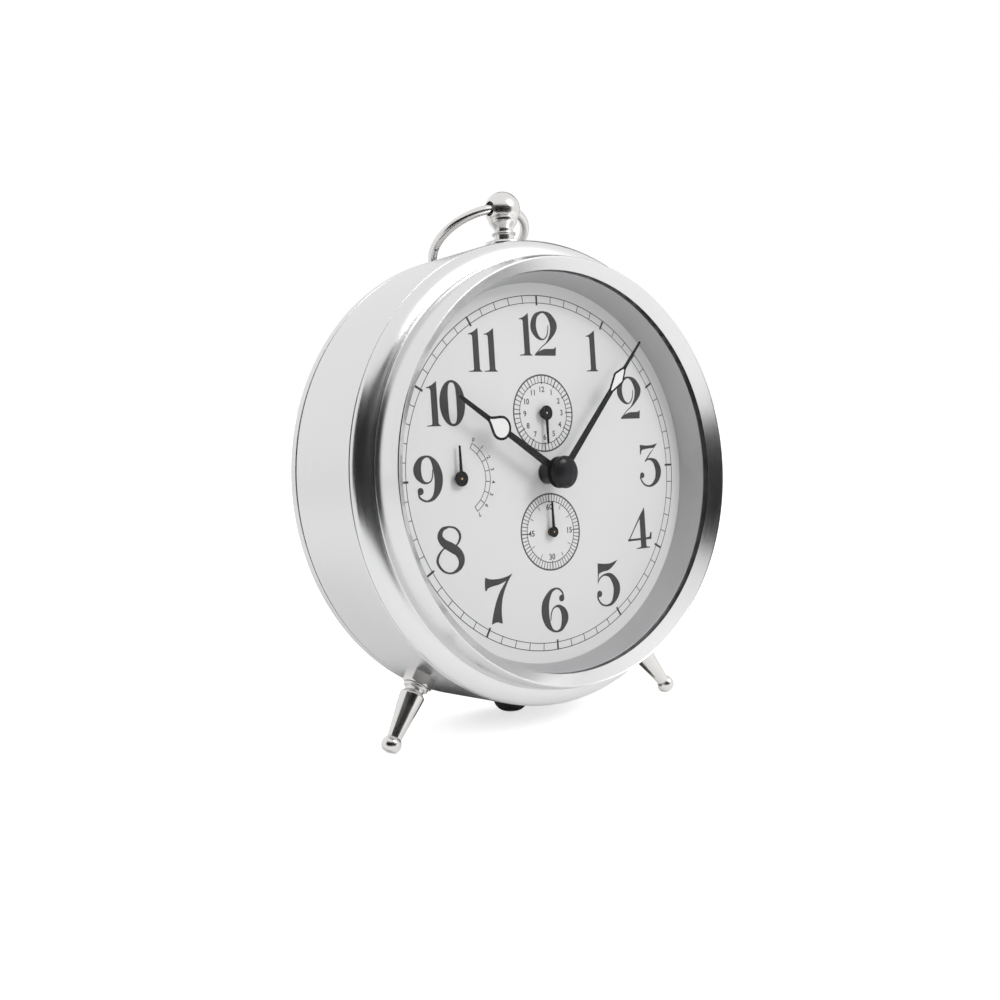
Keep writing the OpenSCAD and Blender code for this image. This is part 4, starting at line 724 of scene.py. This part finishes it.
a, b = around(160)[:, None], around(28)
r = RING_R + WIRE_R * np.cos(b)
out = RING_R - sag / 2 + r * np.sin(a)
rise = WIRE_R * np.sin(b) + 0 * a
tilt = math.radians(RING_LOW)
wire = np.stack([r * np.cos(a), FINIAL_DEPTH + out * math.cos(tilt) + rise * math.sin(tilt),
                 DRUM_R + BALL_H - out * math.sin(tilt) + rise * math.cos(tilt)], -1)
piece("wire_ring", [grid(wire, True, True)], "carry_ring", CHROME, "chrome", ["top_ring"])

# %% [markdown]
# ## The printed dial
# Numerals of this style set thick strokes against hairlines. A font's numerals wouldn't match, and
# a pen is a better model: each stroke is a path with a width at every point, a ball ends it where
# the pen would rest, and flags and feet are filled outlines, each run of which starts where the last
# one ended. The drawing grid has 24 squares to the millimetre.

# %% Numeral drawings
GRID = 24
NUMERALS = {
    "1": [
        ("outline", [[(0, 0), (98, 0)], [(98, 5)], [(88, 9), (82, 18)], [(82, 262)], [(64, 249),
         (42, 236), (20, 228), (8, 225)], [(8, 220)], [(24, 221), (34, 217), (38, 208)], [(38, 18)],
         [(32, 9), (0, 5)]])],
    "2": [
        ("stroke", [(140, 188, 5), (136, 152, 7), (122, 118, 8), (92, 100, 9), (54, 114, 24),
         (26, 154, 43), (22, 194, 44), (40, 240, 32), (74, 263, 17), (110, 269, 13), (152, 248, 36),
         (182, 202, 54), (182, 168, 52), (160, 124, 28), (120, 80, 9), (80, 54, 6), (38, 18, 6)]),
        ("outline", [[(20, 0), (189, 0)], [(195, 54)], [(191, 53)], [(174, 44), (142, 42), (98, 41),
         (64, 30), (32, 18)], [(20, 6)]])],
    "3": [
        ("outline", [[(19, 281), (67, 275), (122, 275), (180, 285)], [(120, 226), (62, 166)],
         [(55, 170)], [(102, 219), (149, 256)], [(92, 253), (44, 247), (30, 236), (25, 218)],
         [(16, 218)], [(18, 248), (19, 281)]]),
        ("stroke", [(56, 168, 7), (84, 182, 10), (120, 180, 20), (156, 156, 42), (176, 102, 52),
         (158, 46, 38), (116, 13, 20), (78, 6, 12), (39, 20, 12), (14, 50, 12), (8, 73, 12)]),
        ("ball", (25, 80, 19))],
    "4": [
        ("outline", [[(159, 268), (162, 258), (165, 228)], [(165, 20)], [(170, 10), (198, 6)],
         [(198, 0)], [(78, 0)], [(78, 6)], [(110, 10), (116, 20)], [(116, 208)], [(137, 236),
         (159, 268)]]),
        ("stroke", [(142, 236, 12), (81, 158, 9), (10, 62, 8)]),
        ("stroke", [(2, 63, 14), (112, 63, 14), (214, 63, 14)]),
        ("outline", [[(188, 66), (200, 78), (206, 100)], [(220, 100)], [(214, 56)]])],
    "5": [
        ("outline", [[(20, 283), (70, 276), (130, 274), (196, 290)], [(162, 260), (115, 232), (65, 226),
         (28, 216)], [(23, 200)], [(16, 155), (13, 155)], [(18, 230), (20, 283)]]),
        ("stroke", [(14, 160, 6), (36, 188, 9), (76, 204, 13), (130, 192, 34), (172, 132, 56),
         (168, 74, 52), (130, 20, 24), (80, 6, 12), (36, 20, 12), (10, 52, 12), (6, 78, 14)]),
        ("ball", (23, 87, 21))],
    "6": [
        ("stroke", [(185, 210, 12), (177, 242, 12), (153, 265, 12), (123, 271, 12), (81, 254, 26),
         (39, 194, 54), (30, 125, 60), (45, 62, 46), (77, 20, 20), (115, 6, 12), (155, 20, 26),
         (185, 74, 54), (181, 118, 50), (153, 154, 26), (123, 162, 13), (93, 148, 9), (76, 116, 8),
         (70, 78, 6)]),
        ("ball", (169, 207, 21))],
    "7": [
        ("outline", [[(6, 288), (45, 274), (110, 270), (170, 278), (214, 292)], [(170, 236), (132, 162),
         (115, 82), (116, -1)], [(76, 12), (33, 4)], [(60, 92), (102, 180), (162, 252)], [(110, 236),
         (60, 230), (22, 221), (13, 208)], [(0, 208)], [(1, 252), (6, 288)]])],
    "8": [
        ("stroke", [(104, 277, 11), (56, 264, 24), (36, 224, 38), (60, 186, 48), (110, 156, 56),
         (160, 122, 52), (180, 76, 46), (160, 30, 28), (106, 6, 12), (48, 22, 13), (10, 70, 18),
         (16, 110, 16), (46, 144, 10), (72, 158, 8)]),
        ("stroke", [(104, 277, 11), (146, 266, 12), (174, 238, 17), (178, 206, 17), (160, 174, 12),
         (134, 156, 8)])],
    "9": [
        ("stroke", [(26, 56, 12), (32, 30, 12), (58, 12, 12), (88, 6, 12), (130, 24, 26), (162, 74, 50),
         (172, 142, 60), (156, 208, 48), (128, 250, 22), (96, 263, 12), (54, 248, 28), (28, 202, 52),
         (30, 160, 50), (54, 124, 26), (84, 110, 12), (116, 120, 9), (130, 150, 8), (134, 187, 6)]),
        ("ball", (40, 65, 21))],
}

# %% Ink on the dial
INK_FRONT = -0.03
INK_BACK = 0.004
LINE_FRONT = -0.02
TICK_FRONT = -0.024
LONG_TICK_FRONT = -0.028


def printed(name, shells, ink=FINE_INK):
    """A print on the dial: its shells in one piece."""
    piece(name, shells, "case", ink, "black")


def drawn(digit, x, z):
    """A numeral's shells, with the lower left corner of its drawing at (x, z) on the dial."""
    corner = [x, z]
    shells = []
    for number, (kind, data) in enumerate(NUMERALS[digit]):
        front = INK_FRONT - 0.001 * number
        if kind == "outline":
            line = smooth(data[0])
            for run in data[1:]:
                line = np.vstack([line, smooth([line[-1], *run])])
            step = np.linalg.norm(np.roll(line, -1, 0) - line, axis=1)
            shells.append(slab(corner + line[step > 0.01] / GRID, front, INK_BACK))
        elif kind == "stroke":
            line = smooth(data)
            left, right = edges(line[:, :2], line[:, 2] / 2)
            shells.append(band(corner + left / GRID, corner + right / GRID, front, INK_BACK))
        else:
            shells.append(slab(corner + circle(data[2], data[0], data[1], 40) / GRID, front, INK_BACK))
    return shells


def zero(x, z, width=7.67, height=11.25):
    """The nought: an ellipse with a narrow, straight-sided counter, |x/a|^3 + |z/b|^3.4 = 1."""
    unit = circle(1, steps=120)
    outer = unit * [width / 2, height / 2]
    inner = np.sign(unit) * np.abs(unit) ** [2 / 3, 2 / 3.4] * [1.25, 5]
    middle = [x + width / 2, z + height / 2]
    return [band(middle + outer, middle + inner, INK_FRONT, INK_BACK, True)]


shells = zero(-32.55, 12.85)
PLACES = [("1", -6.55, 30.17), ("2", -2.47, 30.17), ("1", 15.95, 26.1), ("2", 26.55, 13.2),
          ("3", 33.05, -5.75), ("4", 27.2, -22.4), ("5", 14.7, -36.67), ("6", -4.75, -41.25),
          ("7", -22.4, -36.75), ("8", -36.45, -22.9), ("9", -41.4, -5.08), ("1", -36.6, 13),
          ("1", -23, 26.08), ("1", -18.13, 26.08)]
for digit, x, z in PLACES:
    shells += drawn(digit, x, z)
printed("hour_numerals", shells, INK)

# %% [markdown]
# Tracks are printed rings with ticks between them, all thin strips.

# %% Tracks
def ring_line(r, width, centre=(0, 0), steps=180):
    """Printed circle of that radius and line width."""
    outer, inner = (centre + circle(r + side * width / 2, steps=steps) for side in (1, -1))
    return band(outer, inner, LINE_FRONT, INK_BACK, True)


def arc_line(centre, r, width, start, end):
    """Printed arc between two clock angles."""
    a = np.radians(np.linspace(start, end, 60))
    path = centre + r * np.stack([np.sin(a), np.cos(a)], 1)
    return band(*edges(path, width / 2), LINE_FRONT, INK_BACK)


def tick(degrees, r0, r1, width, centre=(0, 0), front=TICK_FRONT):
    """Printed tick at a clock angle, from radius r0 to r1."""
    corners = [(-width / 2, r0), (width / 2, r0), (width / 2, r1), (-width / 2, r1)]
    return slab(clockwise(corners, degrees, centre), front, INK_BACK)


MINUTE_OUT = 45.6
MINUTE_IN = 43.7
shells = [ring_line(MINUTE_OUT, 0.2, steps=256), ring_line(MINUTE_IN, 0.18, steps=256)]
for minute in range(60):
    if minute % 5 == 0:
        shells.append(tick(6 * minute, 43.05, MINUTE_OUT + 0.1, 0.56, front=LONG_TICK_FRONT))
    else:
        shells.append(tick(6 * minute, MINUTE_IN, MINUTE_OUT, 0.2))
printed("minute_track", shells, INK)

# %% Small dials
SMALL_OUT = 9.8
SMALL_IN = 7.85
SCALE_IN = 8.3
SCALE_FROM, SCALE_TO, DAYS = 29, 148, 7


def small_track(centre, divisions, every):
    """A small dial's track: two rings, a tick for each division and a longer one now and then."""
    shells = [ring_line(SMALL_OUT, 0.42, centre), ring_line(SMALL_IN, 0.2, centre)]
    for k in range(divisions):
        start, width = (7.45, 0.3) if k % every == 0 else (SMALL_IN, 0.19)
        shells.append(tick(360 * k / divisions, start, SMALL_OUT, width, centre))
    return shells


day_angles = SCALE_FROM + (SCALE_TO - SCALE_FROM) * np.arange(DAYS + 1) / DAYS
printed("alarm_track", small_track(ALARM, 48, 4))
printed("seconds_track", small_track(SECONDS, 60, 15)
        + [tick(30 * k, 6.4, 7.6, 0.16, SECONDS) for k in range(12) if k % 3])
printed("reserve_scale", [arc_line(RESERVE, r, 0.18, SCALE_FROM, SCALE_TO)
                          for r in (SCALE_IN + 0.05, SMALL_OUT - 0.05)]
        + [tick(angle, SCALE_IN, SMALL_OUT, 0.2, RESERVE) for angle in day_angles])

# %% [markdown]
# The tiny numerals are plain, so Blender's own font does for them. Each text becomes a mesh, and
# its points then go through the same step as the rest.

# %% Tiny numerals
CAP_SHARE = 0.70


def tiny(text, place, height, degrees=0):
    """Text as a shell on the dial, its middle at that place and turned clockwise. Its wall stands
    on the sides that only one face has."""
    curve = bpy.data.curves.new("text", "FONT")
    curve.body = text
    curve.size = height / CAP_SHARE
    curve.align_x = "CENTER"
    curve.align_y = "CENTER"
    curve.resolution_u = 3
    curve.offset = 0.03 * height
    letters = placed("text", curve)
    mesh = bpy.data.meshes.new_from_object(letters.evaluated_get(bpy.context.evaluated_depsgraph_get()))
    flat = np.array([vertex.co[:2] for vertex in mesh.vertices], float)
    faces = [list(face.vertices) for face in mesh.polygons]
    bpy.data.objects.remove(letters)
    bpy.data.curves.remove(curve)
    bpy.data.meshes.remove(mesh)
    flat = clockwise(flat - (flat.min(0) + flat.max(0)) / 2, degrees, place)
    points = np.vstack([np.insert(flat, 1, depth, axis=1) for depth in (LINE_FRONT, INK_BACK)])
    n = len(flat)
    sides = {(one, two) for face in faces for one, two in zip(face, face[1:] + face[:1])}
    wall = [[two, one, one + n, two + n] for one, two in sorted(sides) if (two, one) not in sides]
    return points, faces + [[v + n for v in reversed(face)] for face in faces] + wall


shells = []
for centre, r, height, marks in (
        (ALARM, 6.15, 1.4, [(hour, 30 * hour, 0) for hour in range(1, 13)]),
        (SECONDS, 6.45, 1.45, [(value, 6 * value, 0) for value in (60, 15, 30, 45)]),
        (RESERVE, 10.75, 1.05, [(day, angle, angle) for day, angle in enumerate(day_angles)])):
    for value, angle, lean in marks:
        shells.append(tiny(str(value), clockwise([(0, r)], angle, centre)[0], height, lean))
printed("tiny_numerals", shells)

# %% [markdown]
# ## Hands and cap
# The hands are stamped from thin sheet and lacquered black, so their edges are slightly eased.
# The hour hand widens to a pear and the minute hand to a long diamond, both filled with white
# enamel. The small hands are plain needles on a round boss.

# %% Hand shapes
HAND_T = 0.4
EASE = 0.09
HOUR_ANGLE = 303.5
MINUTE_ANGLE = 42
HOUR_FRONT = -5
MINUTE_FRONT = -6.5
SMALL_FRONT = -1.5


def needle(points, degrees, front, centre=(0, 0), ease=EASE):
    """A hand's bar from (half width, distance) points, turned to its clock angle."""
    rows = np.array(points, float)
    left = clockwise(rows * [-1, 1], degrees, centre)
    right = clockwise(rows, degrees, centre)
    return band(left, right, front, front + HAND_T, False, ease)


def inside(outline, width):
    """A closed outline moved inwards by a width."""
    return min(edges(outline, width, True), key=lambda side: np.abs(side[:, 0]).max())


def boss(r, bore, centre, front, height=HAND_T, ease=0.12):
    """A hand's round boss: a flat ring with eased corners."""
    return revolve(rounded([(bore, front, ease / 2), (r, front, ease), (r, front + height, ease),
                            (bore, front + height, ease / 2)], 3, 0.03),
                   axis_along_depth(*centre), 72, True)


def mirrored(half):
    """A closed outline from its right half, which runs upwards."""
    return np.vstack([half, (half[::-1] * [-1, 1])[1:-1]])


def filled_hand(kind, shape, outline, frame_w, infill_w, degrees, front, bars, bosses):
    """A hand of bars and bosses with a frame of even width, and the enamel inside the frame."""
    frame_line, infill_line = (clockwise(inside(outline, width), degrees)
                               for width in (frame_w, infill_w))
    shells = [boss(*size) for size in bosses] + [needle(bar, degrees, front) for bar in bars]
    shells.append(band(clockwise(outline, degrees), frame_line, front, front + HAND_T, True, EASE))
    piece(f"{shape}_{kind}_hand", shells, kind + "_group", LACQUER, "black", [kind + "_hand"])
    piece(kind + "_infill", [slab(infill_line, front + 0.1, front + 0.3)],
          kind + "_group", ENAMEL, "dial")

# %% Hour and minute hands
PEAR_FROM, PEAR_TO, PEAR_R, PEAR_NECK = 18.36, 26.64, 3.1, 0.5
pear_middle = PEAR_FROM + PEAR_R
round_end = arc((0, pear_middle), PEAR_R, PEAR_R, -90, 0, 16)
t = np.linspace(0, 1, 24)[1:]
taper = np.stack([PEAR_NECK + (PEAR_R - PEAR_NECK) * (1 + np.cos(np.pi * t)) / 2,
                  pear_middle + (PEAR_TO - pear_middle) * t], 1)
pear_outline = mirrored(np.vstack([round_end, taper, [(0, PEAR_TO + 0.1)]]))
filled_hand("hour", "pear", pear_outline, 0.66, 0.4, HOUR_ANGLE, HOUR_FRONT,
            [[(1.1, 2.6), (0.95, 10), (0.8, PEAR_FROM + 0.5)], [(0.7, PEAR_TO - 1.2), (0.55, 36)]],
            [(4.05, 2.25, (0, 0), HOUR_FRONT),
             (2.9, 2.62, (0, 0), HOUR_FRONT + 0.2, -HOUR_FRONT - 0.6)])

DIAMOND_FROM, DIAMOND_WIDEST, DIAMOND_TO = 26.9, 32, 35.8
diamond_outline = mirrored(np.array([
    (0, DIAMOND_FROM), (0.62, DIAMOND_FROM + 0.4), (1.95, DIAMOND_WIDEST),
    (0.52, DIAMOND_TO - 0.3), (0, DIAMOND_TO)]))
filled_hand("minute", "diamond", diamond_outline, 0.5, 0.33, MINUTE_ANGLE, MINUTE_FRONT,
            [[(0.95, 2.2), (0.75, DIAMOND_FROM + 0.6)], [(0.5, DIAMOND_TO - 0.9), (0.32, 44.8)]],
            [(3.95, 1.55, (0, 0), MINUTE_FRONT)])

# %% Small hands and the cap
for name, body, centre, degrees, length, hub, bore in (
        ("seconds_hand", "seconds_group", SECONDS, 0, 7.9, 1.4, 0.14),
        ("alarm_hand", "alarm_setting_group", ALARM, 180, 7.9, 1.9, 0.2),
        ("reserve_hand", "reserve_group", RESERVE, 0, 8.1, 1.9, 0.2)):
    piece("fine_" + name, [
        boss(hub, bore, centre, SMALL_FRONT),
        needle([(0.4, hub * 0.7), (0.22, length)], degrees, SMALL_FRONT, centre, 0.06)],
        body, LACQUER, "black", [name])

CAP_R, CAP_DOME, CAP_STEP = 4.15, 1.23, 0.3
cap_edge = MINUTE_FRONT - 0.75
dome_from = cap_edge - 0.12
cap_dome = arc((0, dome_from), CAP_R - 0.25, -CAP_DOME, 0, 90, 18)
cap_profile = np.vstack([
    rounded([(0, MINUTE_FRONT, 0), (CAP_R - CAP_STEP, MINUTE_FRONT, 0.05),
             (CAP_R - CAP_STEP, MINUTE_FRONT - 0.25, 0.05), (CAP_R, MINUTE_FRONT - 0.35, 0.1),
             (CAP_R, cap_edge, 0.1), (CAP_R - 0.2, cap_edge - 0.1, 0.08)], 4, 0.03), cap_dome])
piece("domed_cap", [revolve(cap_profile, DIAL_AXIS, 96)], "minute_group", LACQUER, "black", ["hand_cap"])

# %% [markdown]
# ## Keys and knobs on the back
# The two winding keys are butterflies on a round stem. The knobs have straight knurls: a cosine
# round the edge that fades out towards both ends.

# %% Keys
KEY_HALF, KEY_LEN, LOBE_R, KEY_T = 12, 10.6, 4.6, 1.6
KEY_FROM = COVER + 0.5


def butterfly(name, centre, body, node_name):
    """Key of a round hub and a plate of two lobes joined by a waist, in the plane of the key's
    axis. A Bevel modifier eases the plate's edges."""
    hub_end = KEY_FROM + KEY_LEN - LOBE_R
    hub = turned([(0, KEY_FROM, 0), (3, KEY_FROM, 0.3), (3, KEY_FROM + 4.6, 0.5),
                  (2.2, hub_end, 0.3), (0, hub_end, 0)], axis_along_depth(*centre), 64)
    lobe = arc((KEY_HALF - LOBE_R, KEY_LEN - LOBE_R - 0.5), LOBE_R, LOBE_R, -90, 150, 30)
    waist = smooth([lobe[-1], (1.6, KEY_LEN - LOBE_R + 0.3), (0, KEY_LEN - LOBE_R - 0.1)], 5)[1:]
    outline = mirrored(np.vstack([[(0, 1.4), (3, 1.4)], lobe, waist]))
    points, cells = slab(outline, -KEY_T / 2, KEY_T / 2)
    plate = points[:, [0, 2, 1]] + [centre[0], KEY_FROM, centre[1]]
    made = mesh_object(name, [hub, (plate, cells)])
    eased = made.modifiers.new("eased edges", "BEVEL")
    eased.width = 0.35 * MM
    eased.segments = 3
    eased.limit_method = "ANGLE"
    eased.angle_limit = math.radians(50)
    dress(made, body, STEEL, "steel", [node_name], 40)


butterfly("butterfly_time_key", TIME_KEY, "winding_group", "time_key")
butterfly("butterfly_alarm_key", ALARM_KEY, "alarm_winding_group", "alarm_key")

# %% Knobs and the stop button
STOP_FROM = COVER + 0.3
ROD_FROM = 15.2


def knurled_knob(name, centre, r, body, node_name, ridges=28, ridge=0.35, length=5.5):
    """Radius r - ridge (1 - cos(ridges a)) / 2. Each row of the profile is its height, how far it
    stands inside r, and its share of the knurl."""
    rows = np.array([
        (0, r, 0), (0, 0.7, 0), (0.15, 0.4, 0), (0.5, 0.12, 0.5), (0.9, 0, 1), (2, 0, 1), (3.5, 0, 1),
        (length - 0.9, 0, 1), (length - 0.5, 0.12, 0.5), (length - 0.15, 0.4, 0), (length, 0.8, 0),
        (length, 1.2, 0), (length - 0.25, 1.7, 0), (length - 0.3, 2.4, 0), (length - 0.3, r, 0)])
    h, inset, share = rows.T[..., None]
    a = around(ridges * 10)
    radius = r - inset - ridge * share * (1 - np.cos(ridges * a)) / 2
    piece(name, [lathe(radius, h, a, axis_along_depth(*centre, KEY_FROM))],
          body, STEEL, "steel", [node_name], 40)


knurled_knob("knurled_set_knob", (0, 0), 6, "minute_group", "set_knob")
knurled_knob("knurled_alarm_knob", ALARM, 5, "alarm_setting_group", "alarm_knob")
stop_place = axis_along_depth(*STOP)
piece("domed_stop_button", [rod(3, STOP_FROM, STOP_FROM + 2, stop_place, (0.2, 0.7), 64),
                            rod(1.2, ROD_FROM, STOP_FROM + 0.5, stop_place, (0.1, 0), 32)],
      "alarm_stop", CHROME, "chrome", ["stop_button"])

# %% [markdown]
# ## Stage
# The object stands on a white floor before white. An all-white room would make chrome look like
# paper, so a photographer stands dark cards round the object. Here they are parts of a cylinder
# round the clock. A dark sheet on the floor under the clock is painted shadow: it stands for the
# clock's own shadow there and darkens the drum's underside. Only reflections show them. The floor
# and the sky are white to the camera, and how much they light is set apart from that, by kind of ray.

# %% Floor and screens
FLOOR = 3.0
SHADE_X, SHADE_Y, SHADE_Z = (-0.028, 0.042), (-0.008, 0.11), 0.0004


def flat_stage(name, corners, colour, glow=None):
    """A strip of the stage from pairs of corners, with its own plain material."""
    mesh = bpy.data.meshes.new(name)
    mesh.from_pydata(corners, [], [[i, i + 1, i + 3, i + 2] for i in range(0, len(corners) - 2, 2)])
    made = placed(name, mesh)
    look, tree, shader = finish(name, colour, 0.9, Specular_IOR_Level=0)
    if glow:
        add_glow(tree, shader, *glow)
    mesh.materials.append(look)
    return made


def add_glow(tree, shader, to_camera, to_mirrors):
    """Emission of a stage piece: what the camera sees, and a share for mirrors and glass."""
    ray = node(tree, "LightPath").outputs
    mirror = maths(tree, "MAXIMUM", ray["Is Glossy Ray"], ray["Is Transmission Ray"])
    seen = maths(tree, "MULTIPLY", mirror, to_mirrors)
    strength = maths(tree, "MULTIPLY_ADD", ray["Is Camera Ray"], to_camera, seen)
    shader.inputs["Emission Color"].default_value = (1, 1, 1, 1)
    tree.links.new(strength, shader.inputs["Emission Strength"])


def mirrored_only(made):
    """Let a piece of the stage be seen in reflections and nowhere else."""
    for ray in ("camera", "diffuse", "shadow", "transmission"):
        setattr(made, "visible_" + ray, False)


def dark_wall(name, start, end, distance, low, high):
    """A black screen for reflections: part of a cylinder, from one azimuth to another, counted in
    degrees from straight in front towards the left."""
    a = np.radians(np.linspace(start, end, 25))
    ring = np.stack([-distance * np.sin(a), -distance * np.cos(a)], 1)
    corners = np.stack([np.insert(ring, 2, z, axis=1) for z in (low, high)], 1).reshape(-1, 3)
    mirrored_only(flat_stage(name, corners.tolist(), (0.012, 0.012, 0.013)))


flat_stage("floor", [(x, y, 0) for y in (-FLOOR, FLOOR) for x in (-FLOOR, FLOOR)],
           (0.92, 0.92, 0.92), (0.6, 0.2))
dark_wall("screen_by_camera", -24, 98, 0.3, 0.05, 0.28)
dark_wall("screen_by_camera_low", -8, 84, 0.3, 0, 0.05)
dark_wall("screen_behind_right", -150, -118, 0.5, 0, 0.5)
# Painted shadow: a dark sheet just above the floor under the clock, seen only in reflections, stands for the
# clock's shadow there.
mirrored_only(flat_stage("shade_under_clock", [(x, y, SHADE_Z) for y in SHADE_Y for x in SHADE_X],
                         (0.10, 0.10, 0.10)))

# %% [markdown]
# A wide, even sky lights most of the object at about the strength of its colours, and one large
# lamp from the upper right gives the hands their soft shadows on the dial.

# %% Sky and lamp
world = bpy.data.worlds.new("studio")
scene.world = world
world.use_nodes = True
sky = world.node_tree
sky.nodes.clear()
ray = node(sky, "LightPath").outputs
mirror = maths(sky, "MAXIMUM", ray["Is Camera Ray"], ray["Is Glossy Ray"])
plain_white = maths(sky, "MAXIMUM", mirror, ray["Is Transmission Ray"])
lighting, backdrop = (node(sky, "Background", {"Color": (1, 1, 1, 1), "Strength": s}).outputs[0]
                      for s in (0.72, 1))
mixed = node(sky, "MixShader", {0: plain_white, 1: lighting, 2: backdrop})
node(sky, "OutputWorld", {"Surface": mixed.outputs[0]})

lamp = placed("window", bpy.data.lights.new("window", "AREA"))
lamp.data.size = 0.45
lamp.data.energy = 5
lamp.location = (0.35, -0.75, 0.75)
lamp.rotation_euler = (Vector((0, 0, 0.07)) - lamp.location).to_track_quat("-Z", "Y").to_euler()
scene.view_settings.view_transform = "Standard"
print("sky and lamp ready")
